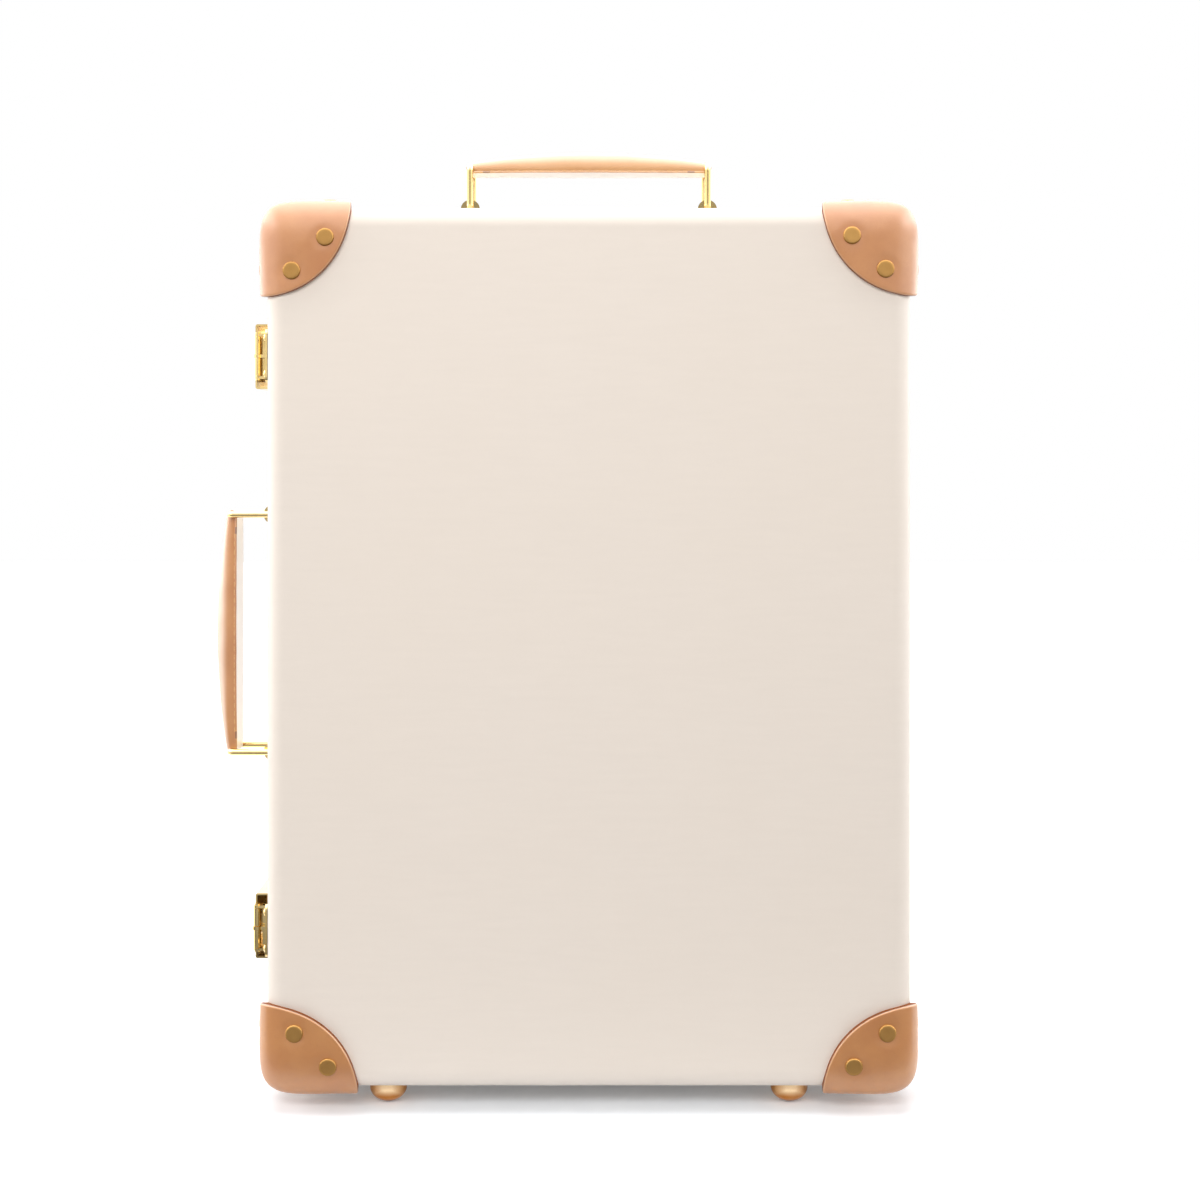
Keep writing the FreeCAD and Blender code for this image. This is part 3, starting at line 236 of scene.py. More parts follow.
def metal_finish(name, bright, dull, polished, tarnished):
    """Metal with drifting tarnish and fine rubbing marks."""
    look = Finish(name, bright, polished, metallic=1.0)
    clouds = look.noise(60.0, 4.0, 0.6)
    rubs = look.noise(1.0, 5.0, 0.65, look.stretched(1400, 260, 1400))
    color = look.blend(look.levels(clouds, 0.35, 0.75, 0.0, 0.6), bright, dull)
    return look.finish(Base_Color=color, Roughness=look.levels(clouds, 0.3, 0.75, polished, tarnished),
                       Normal=look.bump(rubs, 0.05, 0.0002))


# Where a foot's painted highlight gives way to painted shade and darker reflection, in metres: to its sides,
# under its shoulder and at its sole
FOOT_SIDES, FOOT_SHOULDER, FOOT_SOLE = (0.003, 0.0105), (0.0048, 0.009, 1.0, 0.0), (0.0008, 0.003, 1.0, 0.0)


def foot_finish():
    """Brass with a painted highlight on the front of its shoulder, and painted shade and darker reflection
    towards the sides and the floor.
    """
    look = Finish("foot_brass", srgb(246, 218, 176), 0.14, metallic=1.0)
    x, _, height = look.split(look.coordinates)
    offset = look.math("SUBTRACT", look.size(x), FOOT_X)
    aside = look.levels(look.size(offset), *FOOT_SIDES)
    clouds = look.noise(160.0, 3.0)
    # painted shade and darker reflection to the sides and under the shoulder, varied by clouds; the pale
    # middle is a painted highlight
    painted_light = look.larger(aside, look.levels(height, *FOOT_SHOULDER))
    painted_light = look.product(painted_light, look.levels(clouds, 0.25, 0.6, 0.8, 1.0))
    color = look.blend(painted_light, srgb(244, 212, 168), srgb(200, 130, 56))
    # painted shade at the sole, beside the floor
    color = look.blend(look.levels(height, *FOOT_SOLE), color, srgb(150, 90, 38))
    return look.finish(Base_Color=color, Roughness=look.levels(clouds, 0.3, 0.75, 0.12, 0.24))


def moulded_finish(name, color, roughness, scale):
    """Moulded plastic or rubber with a spark-eroded grain."""
    look = Finish(name, color, roughness)
    grain = look.noise(scale, 2.0)
    lighter = tuple(channel * 1.35 for channel in color[:3]) + (1.0,)
    tone = look.blend(look.levels(look.noise(30.0), 0.35, 0.7, 0.0, 0.5), color, lighter)
    sheen = look.levels(grain, 0.3, 0.7, roughness - 0.06, roughness + 0.08)
    return look.finish(Base_Color=tone, Roughness=sheen, Normal=look.bump(grain, 0.18, 0.0003))


def wood_finish():
    """Pale ply frame with grain along the strips."""
    look = Finish("frame_wood", srgb(201, 168, 122), 0.5)
    grain = look.noise(1.0, 5.0, 0.65, look.stretched(30, 700, 30))
    color = look.blend(look.levels(grain, 0.3, 0.7), srgb(176, 138, 92), srgb(214, 184, 140))
    return look.finish(Base_Color=color, Normal=look.bump(grain, 0.2, 0.0003))


def lining_finish():
    """Plain-woven cotton lining."""
    look = Finish("lining", srgb(206, 190, 163), 0.85, **{"Sheen Weight": 0.25})
    across, along, up = (look.weave(900.0, axis) for axis in "XYZ")
    threads = look.larger(look.product(across, up), look.product(along, up))
    clouds = look.noise(25.0)
    color = look.blend(look.levels(clouds, 0.3, 0.7), srgb(204, 188, 161), srgb(210, 195, 169))
    color = look.blend(look.levels(threads, 0.0, 1.0, 0.25, 0.0), color, srgb(150, 132, 104))
    return look.finish(Base_Color=color, Normal=look.bump(threads, 0.35, 0.0004))


def thread_finish():
    """Waxed linen thread, twisted."""
    look = Finish("thread", srgb(222, 188, 144), 0.6)
    twist = look.noise(2600.0, 2.0)
    color = look.blend(look.levels(twist, 0.3, 0.7), srgb(188, 144, 98), srgb(222, 184, 138))
    return look.finish(Base_Color=color, Normal=look.bump(twist, 0.4, 0.0002))


FIBRE = fibre_finish()
CORNER_LEATHER = leather_finish("corner_leather", srgb(168, 102, 52), srgb(184, 121, 68), srgb(197, 138, 86))
# painted shade: the lower corners take a copy of the corner leather with less blue, standing for the pale
# reflection that the upper corners catch and the lower ones lack
LOW_LEATHER_PAINTED_SHADE = leather_finish("low_leather_painted_shade", srgb(168, 101, 45), srgb(184, 120, 59), srgb(197, 137, 77))
GRIP_LEATHER = leather_finish("grip_leather", srgb(176, 120, 68), srgb(192, 141, 88), srgb(204, 156, 104))
SIDE_LEATHER = leather_finish("side_leather", srgb(164, 100, 48), srgb(180, 120, 66), srgb(194, 138, 84))
# a pale grip underside, painted near-white to stand for the light that it catches
PALE_LEATHER_PAINTED_LIGHT = leather_finish("pale_leather_painted_light", srgb(246, 243, 238), srgb(250, 248, 245), srgb(252, 251, 249))
LEATHER_EDGE = cut_leather_finish()
BRASS = metal_finish("brass", srgb(238, 211, 150), srgb(220, 184, 110), 0.1, 0.2)
RIVET_BRASS = metal_finish("rivet_brass", srgb(178, 137, 80), srgb(157, 116, 65), 0.48, 0.58)
FOOT_BRASS = foot_finish()
STEEL = metal_finish("steel", srgb(200, 200, 200), srgb(160, 160, 160), 0.25, 0.4)
ALUMINIUM = metal_finish("aluminium", srgb(214, 214, 214), srgb(190, 190, 192), 0.3, 0.42)
BLACK = moulded_finish("moulding", srgb(36, 34, 33), 0.5, 1500.0)
BUTTON = moulded_finish("button", srgb(48, 46, 45), 0.32, 2200.0)
TYRE = moulded_finish("tyre", srgb(42, 40, 39), 0.7, 900.0)
BOARD = moulded_finish("board", srgb(112, 84, 58), 0.75, 700.0)
WOOD = wood_finish()
LINING = lining_finish()
THREAD = thread_finish()

SLOT_FINISH = {
    "fibre": FIBRE, "leather": CORNER_LEATHER, "brass": BRASS, "frame_wood": WOOD, "lining": LINING,
    "board": BOARD, "moulding": BLACK, "button": BUTTON, "tube": ALUMINIUM, "tyre": TYRE, "steel": STEEL,
}


def dress_solids():
    """Gives every solid the finish of its slot."""
    for subpart in frame["record"]["subparts"]:
        data = nodes[subpart["node"]].data
        data.materials.clear()
        data.materials.append(SLOT_FINISH[subpart["material_slot"]])


# Mesh helpers

SHARP = math.radians(40)
COPY_TURN = 1.7  # angle from each copy of a turned piece to the next


def add_object(name, data):
    made = bpy.data.objects.new(name, data)
    bpy.context.scene.collection.objects.link(made)
    return made


def new_object(name, vertices, faces, materials, face_materials=None, sharp=SHARP):
    """A smooth-shaded mesh object with outward faces and sharp edges kept."""
    mesh = bpy.data.meshes.new(name)
    mesh.from_pydata([tuple(vertex) for vertex in vertices], [], faces)
    for material in materials:
        mesh.materials.append(material)
    if face_materials is not None:
        mesh.polygons.foreach_set("material_index", face_materials)
    shaped = bmesh.new()
    shaped.from_mesh(mesh)
    bmesh.ops.recalc_face_normals(shaped, faces=shaped.faces)
    shaped.to_mesh(mesh)
    shaped.free()
    mesh.polygons.foreach_set("use_smooth", [True] * len(mesh.polygons))
    mesh.set_sharp_from_angle(angle=sharp)
    return add_object(name, mesh)


def place(piece, body, slot, *replaced):
    """Puts a piece on its body in place of the solids that it stands for."""
    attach(piece, body)
    if replaced:
        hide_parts(*replaced)
    return piece


def loft(loops, closed_ends=True):
    """Vertices and faces through loops of equal length, capped at both ends unless left open."""
    vertices = [point for loop in loops for point in loop]
    count = len(loops[0])
    faces = []
    for row in range(len(loops) - 1):
        low, high = row * count, (row + 1) * count
        for column in range(count):
            after = (column + 1) % count
            faces.append((low + column, low + after, high + after, high + column))
    if closed_ends:
        last = (len(loops) - 1) * count
        faces.append(tuple(range(count)))
        faces.append(tuple(range(last, last + count)))
    return vertices, faces


def turned(profile, steps, closed_ends=True):
    """Vertices and faces of a turned piece about +Z from (radius, height) points."""
    loops = []
    for radius, height in profile:
        turns = [2 * math.pi * step / steps for step in range(steps)]
        loops.append([(radius * math.cos(turn), radius * math.sin(turn), height) for turn in turns])
    return loft(loops, closed_ends)


def in_metres(profile):
    """A profile that is given in mm."""
    return [(radius * MM, height * MM) for radius, height in profile]


def repeated(vertices, faces, moves):
    """Vertices and faces of a small mesh under each of some moves."""
    all_vertices, all_faces = [], []
    for move in moves:
        start = len(all_vertices)
        all_vertices.extend(move(vertex) for vertex in vertices)
        all_faces.extend(tuple(start + index for index in face) for face in faces)
    return all_vertices, all_faces


def standing_at(point, outward, number):
    """The move that stands a mesh on a point, along its outward direction."""
    turn = Vector((0, 0, 1)).rotation_difference(outward)
    spin = Matrix.Rotation(number * COPY_TURN, 3, "Z")
    return lambda vertex: point + turn @ (spin @ Vector(vertex))


def copies(name, vertices, faces, places, material):
    """One object with a copy of a small mesh at each (point, outward) place."""
    moves = [standing_at(point, outward, number) for number, (point, outward) in enumerate(places)]
    return new_object(name, *repeated(vertices, faces, moves), [material])


def upright_pair(x, y):
    """The places of a left and a right piece that are drawn upwards from the floor."""
    return [(Vector((side, y, 0)), Vector((0, 0, 1))) for side in (-x, x)]


def add_values(piece, name, values):
    """Gives each vertex a number that a finish can read."""
    piece.data.attributes.new(name, "FLOAT", "POINT").data.foreach_set("value", values)


def smooth_step(value):
    share = min(max(value, 0.0), 1.0)
    return share * share * (3 - 2 * share)


# Trays

ARC_STEPS = 18
CUP_HALF, CUP_FRONT, CUP_BACK = 95.7 * MM, 52.3 * MM, 87.1 * MM
CUP_CORNER, CUP_ARC_STEPS = 7.6 * MM, 8
CUP_CUT = 20 * MM  # half the height of the cut through the top wall
WELL_RADIUS, WELL_HALF, WELL_STEPS = 29.6 * MM, 14.1 * MM, 96
FLAT_MARGIN = 0.6 * MM  # flat kept beside a rounded edge, so that it shades evenly
LIP, LIP_CURVE = 0.45 * MM, 0.3  # rounding of a tray's mouth and of its middle point


def rounded_outline(half, low, high, radius, steps):
    """Points round a rounded rectangle, from its corners' centres."""
    points = []
    for quarter, (x, y) in enumerate(((half, high), (-half, high), (-half, low), (half, low))):
        for step in range(steps + 1):
            angle = (quarter + step / steps) * math.pi / 2
            points.append((x + radius * math.cos(angle), y + radius * math.sin(angle)))
    return points


def wall_outline(inset):
    """Points round the case's four walls, drawn in by inset."""
    across, rise = HALF_WIDTH - CORNER_RADIUS, HALF_HEIGHT - CORNER_RADIUS
    return rounded_outline(across, MIDDLE - rise, MIDDLE + rise, CORNER_RADIUS - inset, ARC_STEPS)


def tray_loops(profile):
    return [[(x, depth, z) for x, z in wall_outline(inset)] for inset, depth in profile]


def tray_profile(face, mouth, edge):
    """(inset, depth) points from the inside of a tray's floor round its mouth to the outside of its face."""
    inward = 1 if face < mouth else -1
    arc = [step / ARC_STEPS * math.pi / 2 for step in range(ARC_STEPS + 1)]
    inner = edge - WALL
    curve = LIP_CURVE * LIP
    straight = face + inward * (edge + FLAT_MARGIN)
    profile = [(edge + FLAT_MARGIN, face + inward * WALL)]
    for angle in arc:
        profile.append((edge - inner * math.sin(angle), face + inward * (edge - inner * math.cos(angle))))
    below, near = mouth - inward * LIP, mouth - inward * curve
    profile += [(WALL, straight), (WALL, below), (WALL - curve, near), (WALL - LIP, mouth), (LIP, mouth),
                (curve, near), (0.0, below), (0.0, straight)]
    for angle in reversed(arc):
        profile.append((edge - edge * math.sin(angle), face + inward * (edge - edge * math.cos(angle))))
    profile.append((edge + FLAT_MARGIN, face))
    return profile


def cut_away(piece, cutters):
    """Cuts solids out of a piece for good."""
    for cutter in cutters:
        modifier = piece.modifiers.new("cut", "BOOLEAN")
        modifier.operation = "DIFFERENCE"
        modifier.object = cutter
        modifier.solver = "EXACT"
    bpy.context.view_layer.update()
    result = bpy.data.meshes.new_from_object(piece.evaluated_get(bpy.context.evaluated_depsgraph_get()))
    piece.modifiers.clear()
    piece.data = result
    result.set_sharp_from_angle(angle=SHARP)
    for cutter in cutters:
        bpy.data.objects.remove(cutter)


def even_shading(piece):
    """Keeps large flat faces flat-shaded up to their rounded edges."""
    modifier = piece.modifiers.new("even", "WEIGHTED_NORMAL")
    modifier.keep_sharp = True


def cup_cutter():
    """A block through the top wall where the handle's cup sits."""
    front, back = CUP_FRONT + CUP_CORNER, CUP_BACK - CUP_CORNER
    outline = rounded_outline(CUP_HALF - CUP_CORNER, front, back, CUP_CORNER, CUP_ARC_STEPS)
    loops = [[(x, y, height) for x, y in outline] for height in (TOP - CUP_CUT, TOP + CUP_CUT)]
    return new_object("cup_cutter", *loft(loops), [FIBRE])


def well_cutter(x):
    """A drum round a wheel, where its moulded well sits in the base."""
    vertices, faces = turned([(WELL_RADIUS, -WELL_HALF), (WELL_RADIUS, WELL_HALF)], WELL_STEPS)
    turn = Vector((0, 0, 1)).rotation_difference(Vector((1, 0, 0)))
    centre = Vector((x, WHEEL_Y, WHEEL_Z))
    return new_object("well_cutter", [centre + turn @ Vector(vertex) for vertex in vertices], faces, [FIBRE])


def make_trays():
    lid = new_object("lid_tray", *loft(tray_loops(tray_profile(-HALF_DEPTH, PARTING, FACE_RADIUS))), [FIBRE])
    even_shading(place(lid, "lid", "fibre", "lid_shell"))
    base = new_object("base_tray", *loft(tray_loops(tray_profile(HALF_DEPTH, PARTING, EDGE_RADIUS))), [FIBRE])
    cut_away(base, [cup_cutter(), well_cutter(-WHEEL_X), well_cutter(WHEEL_X)])
    even_shading(place(base, "base", "fibre", "base_shell"))


# Leather corners

CORNER_COLUMNS = 216
CORNER_ROWS = 54
TIP_SHARE = 0.02  # where the first row lies, as a share of the way from the tip to the rim
INNER_STRIDE = 3  # rows of the outer skin to one row of the inner skin
EDGE_ROUND, EDGE_STEPS = 1.3 * MM, 6
CUT_ROWS = 3  # rows of the skin that show the cut edge
# width of a corner's edge band: a painted highlight inside a burnished dark rim
BURNISH_AND_HIGHLIGHT_WIDTH = 2.4 * MM
TIP_SWELL = 0.8 * MM
SKIN_GAP = 0.05 * MM
RIPPLE_BROAD, RIPPLE_FINE = (0.14 * MM, 55), (0.06 * MM, 160)  # depth and scale
PRESS_RADIUS, PRESS_DEPTH, PRESS_POWER = 7.6 * MM, 0.2 * MM, 4
LEATHER_CROWN, LEATHER_TURN, CROWN_FULLNESS = 26 * MM, 14 * MM, 2.2
BEND_REACH, BEND_FULLNESS = 45 * MM, 5.6
EDGE_FULLNESS = 2.0
SLOPE_STEP = 1e-5
RAY_ORIGIN = 42 * MM  # how far inside a corner its rays start
RAY_STEPS, RAY_CARE = 160, 0.8  # steps along a ray, and the share of the level that each one takes
RIM_ANGLE, RIM_HALVINGS = 1.75, 34  # widest angle from the tip to the rim, and the halvings that find it
# Reach along and up of each hand-cut corner, and how far its face rivets sit off their marks, in mm
LEATHER_CUT = {(-1, 1): (56.3, 59.4), (1, 1): (59.0, 58.8), (-1, -1): (60.7, 56.2), (1, -1): (58.9, 55.9)}
RIVET_DRIFT = {(-1, 1): (-0.4, -2.0), (1, 1): (0.0, -1.0), (-1, -1): (1.2, -1.8), (1, -1): (1.2, -1.6)}
CUT_FULLNESS = 2.1
# Radius and height in mm
FLAT_RIVET = [(0.05, 1.12), (2.6, 1.16), (4.2, 1.2), (4.75, 1.12), (5.15, 0.9), (5.38, 0.5), (5.4, 0.1),
              (5.2, -0.5), (1.0, -0.6)]
FLAT_RIVET_STEPS = 56


def rounded_case(points, wall, grow, crown, turn, fullness):
    """Level of points about a form of the case, rounded from its walls (crown) to its faces (turn).

    wall is how far the points lie beyond the form's walls, and grow how far its faces stand off the case's.
    """
    past_wall = wall / crown + 1
    past_face = (np.abs(points[..., 1]) - HALF_DEPTH - grow) / turn + 1
    rounded = np.maximum(past_wall, 0) ** fullness + np.maximum(past_face, 0) ** fullness
    level = rounded ** (1 / fullness) + np.minimum(np.maximum(past_wall, past_face), 0) - 1
    return level * np.minimum(crown, turn)


def case_distance(points):
    """Signed distance of points from the outside of the fibre case."""
    across = np.maximum(np.abs(points[..., 0]) - (HALF_WIDTH - CORNER_RADIUS), 0)
    up = np.maximum(np.abs(points[..., 2] - MIDDLE) - (HALF_HEIGHT - CORNER_RADIUS), 0)
    inside = np.maximum(np.abs(points[..., 0]) - HALF_WIDTH, np.abs(points[..., 2] - MIDDLE) - HALF_HEIGHT)
    wall = np.where((across > 0) | (up > 0), np.hypot(across, up) - CORNER_RADIUS, inside)
    edge = np.where(points[..., 1] < 0, FACE_RADIUS, EDGE_RADIUS)
    return rounded_case(points, wall, 0.0, edge, edge, EDGE_FULLNESS)


def leather_distance(points):
    """Level of points about the outer skin of the leather, which crowns gently towards the edges."""
    across = np.maximum(np.abs(points[..., 0]) - HALF_WIDTH + BEND_REACH, 0)
    up = np.maximum(np.abs(points[..., 2] - MIDDLE) - HALF_HEIGHT + BEND_REACH, 0)
    bend = (across ** BEND_FULLNESS + up ** BEND_FULLNESS) ** (1 / BEND_FULLNESS)
    wall = bend - BEND_REACH - LEATHER
    return rounded_case(points, wall, LEATHER, LEATHER_CROWN, LEATHER_TURN, CROWN_FULLNESS)


def outward_normal(distance, points):
    steps = SLOPE_STEP * np.eye(3)
    gradient = np.stack([distance(points + step) - distance(points - step) for step in steps], -1)
    return gradient / np.linalg.norm(gradient, axis=-1, keepdims=True)


def skin_points(origin, directions):
    """Where rays from inside the case meet the outer skin of the leather."""
    travel = np.zeros(directions.shape[:-1])
    for _ in range(RAY_STEPS):
        travel = travel - RAY_CARE * leather_distance(origin + travel[..., None] * directions)
    return origin + travel[..., None] * directions


def case_points(points):
    """Points let down onto the fibre."""
    return points - (case_distance(points) - SKIN_GAP)[..., None] * outward_normal(case_distance, points)


def corner_point(side, face, up):
    """The sharp corner that the leather's faces would meet in."""
    return np.array((side * (HALF_WIDTH + LEATHER), face * (HALF_DEPTH + LEATHER),
                     MIDDLE + up * (HALF_HEIGHT + LEATHER)))


def corner_rivets(side, face, up):
    """(point, outward) of the rivets of one leather corner."""
    corner = Vector(corner_point(side, face, up))
    drift_x, drift_z = RIVET_DRIFT[side, up]
    drift = Vector((drift_x * MM, 0, drift_z * MM))
    found = []
    for across, rise in ((RIVET_FAR, RIVET_NEAR), (RIVET_NEAR, RIVET_FAR)):
        found.append((corner + drift - Vector((side * across, 0, up * rise)), Vector((0, face, 0))))
    for depth, along in ((RIVET_NEAR, RIVET_FAR), (RIVET_FAR, RIVET_MID)):
        found.append((corner - Vector((0, face * depth, up * along)), Vector((side, 0, 0))))
        found.append((corner - Vector((side * along, face * depth, 0)), Vector((0, 0, up))))
    seated = []
    for point, outward in found:
        seat = np.array(point - outward * float(leather_distance(np.array(point))))
        seated.append((Vector(seat), Vector(outward_normal(leather_distance, seat))))
    return seated


def leather_span(points, side, face, up):
    """How far points lie from a corner, counted so that the leather's cut edge is at LEATHER_REACH."""
    across, rise = LEATHER_CUT[side, up]
    cut = np.array((across * MM, LEATHER_REACH, rise * MM))
    shares = np.abs(points - corner_point(side, face, up)) / cut
    return LEATHER_REACH * np.sum(shares ** CUT_FULLNESS, axis=-1) ** (1 / CUT_FULLNESS)


def corner_grid(side, face, up):
    """Rows of points from the tip of a corner out to its round edge, on the leather's outer skin."""
    corner = corner_point(side, face, up)
    signs = np.array((side, face, up), float)
    origin = corner - RAY_ORIGIN * signs
    tip = signs / math.sqrt(3)
    first = np.cross(tip, (0, 0, 1.0))
    first /= np.linalg.norm(first)
    second = np.cross(tip, first)
    turn = np.linspace(0, 2 * math.pi, CORNER_COLUMNS, endpoint=False)
    spoke = np.cos(turn)[:, None] * first + np.sin(turn)[:, None] * second
    low, high = np.zeros(CORNER_COLUMNS), np.full(CORNER_COLUMNS, RIM_ANGLE)
    for _ in range(RIM_HALVINGS):
        angle = (low + high) / 2
        rim = skin_points(origin, np.cos(angle)[:, None] * tip + np.sin(angle)[:, None] * spoke)
        beyond = leather_span(rim, side, face, up) > LEATHER_REACH - EDGE_ROUND
        high = np.where(beyond, angle, high)
        low = np.where(beyond, low, angle)
    share = np.linspace(TIP_SHARE, 1, CORNER_ROWS)[:, None]
    angle = share * ((low + high) / 2)[None, :]
    return skin_points(origin, np.cos(angle)[..., None] * tip + np.sin(angle)[..., None] * spoke)


def leather_relief(points, corner, rivets):
    """How far hand-moulded leather swells at the tip and rises or dips elsewhere."""
    flat = points.reshape(-1, 3)
    relief = np.zeros(len(flat))
    for depth, scale in (RIPPLE_BROAD, RIPPLE_FINE):
        relief += depth * np.array([noise.noise(Vector(point) * scale) for point in flat])
    relief += TIP_SWELL * np.clip(1 - (np.linalg.norm(flat - corner, axis=1) / LEATHER_REACH) ** 2, 0, 1)
    for point, _ in rivets:
        distance = np.linalg.norm(flat - np.array(point), axis=1)
        pressed = np.exp(-((distance / PRESS_RADIUS) ** PRESS_POWER))
        relief = relief * (1 - pressed) - PRESS_DEPTH * pressed
    return relief.reshape(points.shape[:-1])


def make_leather_corner(name, side, face, up):
    """An outer skin with a rounded, cut rim, closed by an inner skin that lies on the fibre."""
    bare = corner_grid(side, face, up)
    normal = outward_normal(leather_distance, bare)
    corner = corner_point(side, face, up)
    grid = bare + leather_relief(bare, corner, corner_rivets(side, face, up))[..., None] * normal
    rim, rim_normal = grid[-1], normal[-1]
    outward = rim - grid[-2]
    outward -= np.sum(outward * rim_normal, axis=1, keepdims=True) * rim_normal
    outward /= np.linalg.norm(outward, axis=1, keepdims=True)
    rows = list(grid)
    for step in range(1, EDGE_STEPS + 1):
        angle = step / EDGE_STEPS * math.pi / 2
        rows.append(rim + EDGE_ROUND * (math.sin(angle) * outward - (1 - math.cos(angle)) * rim_normal))
    rows.append(case_points(rows[-1]))
    edge_start = (len(rows) - CUT_ROWS) * CORNER_COLUMNS
    rows.extend(case_points(bare[::-INNER_STRIDE]))
    vertices, faces = loft([[tuple(point) for point in row] for row in rows])
    cut = [1 if min(quad) >= edge_start and len(quad) == 4 else 0 for quad in faces]
    # the lower corners take the less-blue copy, painted shade
    skin = CORNER_LEATHER if up > 0 else LOW_LEATHER_PAINTED_SHADE
    piece = new_object(name, vertices, faces, [skin, LEATHER_EDGE], cut)
    reach = LEATHER_REACH - leather_span(np.array(vertices), side, face, up)
    add_values(piece, "edge", np.clip(1 - reach / BURNISH_AND_HIGHLIGHT_WIDTH, 0, 1).astype(np.float32))
    return piece


def make_corners():
    vertices, faces = turned(in_metres(FLAT_RIVET), FLAT_RIVET_STEPS)
    for tray, face in (("lid", -1), ("base", 1)):
        rivets = []
        for corner, (side, up) in CORNERS.items():
            piece = make_leather_corner(tray + "_leather_" + corner, side, face, up)
            place(piece, tray, "leather", tray + "_corner_" + corner)
            rivets.extend(corner_rivets(side, face, up))
        heads = copies(tray + "_flat_rivets", vertices, faces, rivets, RIVET_BRASS)
        place(heads, tray, "brass", tray + "_corner_rivets")


# Feet

FOOT_RADIUS, FOOT_RISE, FOOT_FLAT = 11.5 * MM, 8.8 * MM, 3.2 * MM
FOOT_EASE = 0.4 * MM  # how far the flat of a foot stops short of its dome
FOOT_MIDDLE = 0.1 * MM  # radius of the disc that closes a foot's middle
DOME_STEPS, FOOT_STEPS = 24, 72
# Radius and height in mm of the neck and the flange
FOOT_FLANGE = [(11.5, 12.6), (12.0, 13.2), (13.0, 13.4), (13.5, 13.8), (13.5, 14.95), (0.1, 14.95)]


def make_feet():
    profile = [(FOOT_MIDDLE, 0.0), (FOOT_FLAT - FOOT_EASE, 0.0)]
    start = math.acos(FOOT_FLAT / FOOT_RADIUS)
    for step in range(DOME_STEPS + 1):
        angle = start * (1 - step / DOME_STEPS)
        profile.append((FOOT_RADIUS * math.cos(angle), FOOT_RISE * (1 - math.sin(angle))))
    vertices, faces = turned(profile + in_metres(FOOT_FLANGE), FOOT_STEPS)
    pair = copies("domed_feet", vertices, faces, upright_pair(FOOT_X, FOOT_Y), FOOT_BRASS)
    place(pair, "lid", "brass", "front_feet")


# Round-headed rivets of the metal fittings

HINGE_RIVET_Y, HINGE_RIVET_RISE = 14 * MM, 14 * MM  # from the parting, and from one rivet to the next
LEAF_RIVET_Y, LEAF_RIVET_RISE = -83.5 * MM, 11 * MM
LOCK_RIVETS = ((-4 * MM, 17.3 * MM), (13 * MM, 12.4 * MM))  # depth, and rise from the middle of a lock
SADDLE_RIVET_ALONG, SADDLE_RIVET_ACROSS = 10.6 * MM, 10 * MM
# Radius and height in mm
ROUND_RIVET = [(0.05, 1.4), (0.85, 1.38), (1.5, 1.24), (2.05, 0.98), (2.45, 0.62), (2.7, 0.28), (2.8, 0.02),
               (2.4, -0.3), (0.05, -0.3)]
ROUND_RIVET_STEPS = 40


def fitting_rivet_places():
    """(point, outward) of the small rivets on the lid and on the base."""
    left, right, up = Vector((-1, 0, 0)), Vector((1, 0, 0)), Vector((0, 0, 1))
    wall = -HALF_WIDTH - PLATE
    lid, base = [], []
    for height in (LEVEL - LATCH_OFFSET, LEVEL, LEVEL + LATCH_OFFSET):
        for rise in (-HINGE_RIVET_RISE, 0.0, HINGE_RIVET_RISE):
            lid.append((Vector((HALF_WIDTH + PLATE, PARTING - HINGE_RIVET_Y, height + rise)), right))
            base.append((Vector((HALF_WIDTH + PLATE, PARTING + HINGE_RIVET_Y, height + rise)), right))
    for height in (LEVEL - LATCH_OFFSET, LEVEL + LATCH_OFFSET):
        for sign in (-1, 1):
            lid.append((Vector((wall, LEAF_RIVET_Y, height + sign * LEAF_RIVET_RISE)), left))
            for depth, rise in LOCK_RIVETS:
                base.append((Vector((wall, depth, height + sign * rise)), left))
    for centre in (-HANDLE_SPAN, HANDLE_SPAN):
        for along in (-SADDLE_RIVET_ALONG, SADDLE_RIVET_ALONG):
            for across in (-SADDLE_RIVET_ACROSS, SADDLE_RIVET_ACROSS):
                base.append((Vector((centre + along, across, TOP + PLATE)), up))
                base.append((Vector((wall, across, LEVEL + centre + along)), left))
    return {"lid": lid, "base": base}


def make_fitting_rivets():
    vertices, faces = turned(in_metres(ROUND_RIVET), ROUND_RIVET_STEPS)
    for tray, places in fitting_rivet_places().items():
        heads = copies(tray + "_round_rivets", vertices, faces, places, BRASS)
        place(heads, tray, "brass", tray + "_fitting_rivets")


# Carrying grips, drawn about the middle of their wall with +Z outwards

GRIP_ROWS = 150
EYE_ROWS = 8
EYE_WRAP = 2.7 * MM
EYE_TURN = 0.94  # share of a quarter turn that a grip's end wraps round its loop bar
EYE_DRAW = 0.5 * MM  # how far the end narrows as it wraps
SWELL_POWER = 0.8
UNDERSIDE = 4  # first points of a half section, across the flat underside
UNDER_SHARES = (0.0, 0.4, 0.75)  # of the half width
WELT = ((1.6, 0.0), (0.4, 0.1), (0.0, 0.45), (0.15, 0.85), (0.55, 1.15), (0.5, 1.4))  # inset and rise in mm
SHOULDER_STEPS = 16
SHOULDER_INSET, SHOULDER_RISE = 0.4 * MM, 2.1 * MM
SHOULDER_ACROSS, SHOULDER_UP = 0.78, 0.85  # powers below 1 fill the rounded back out
FLANK_SHARE = 0.9  # of the half width at a grip's end, beyond which it is darkened
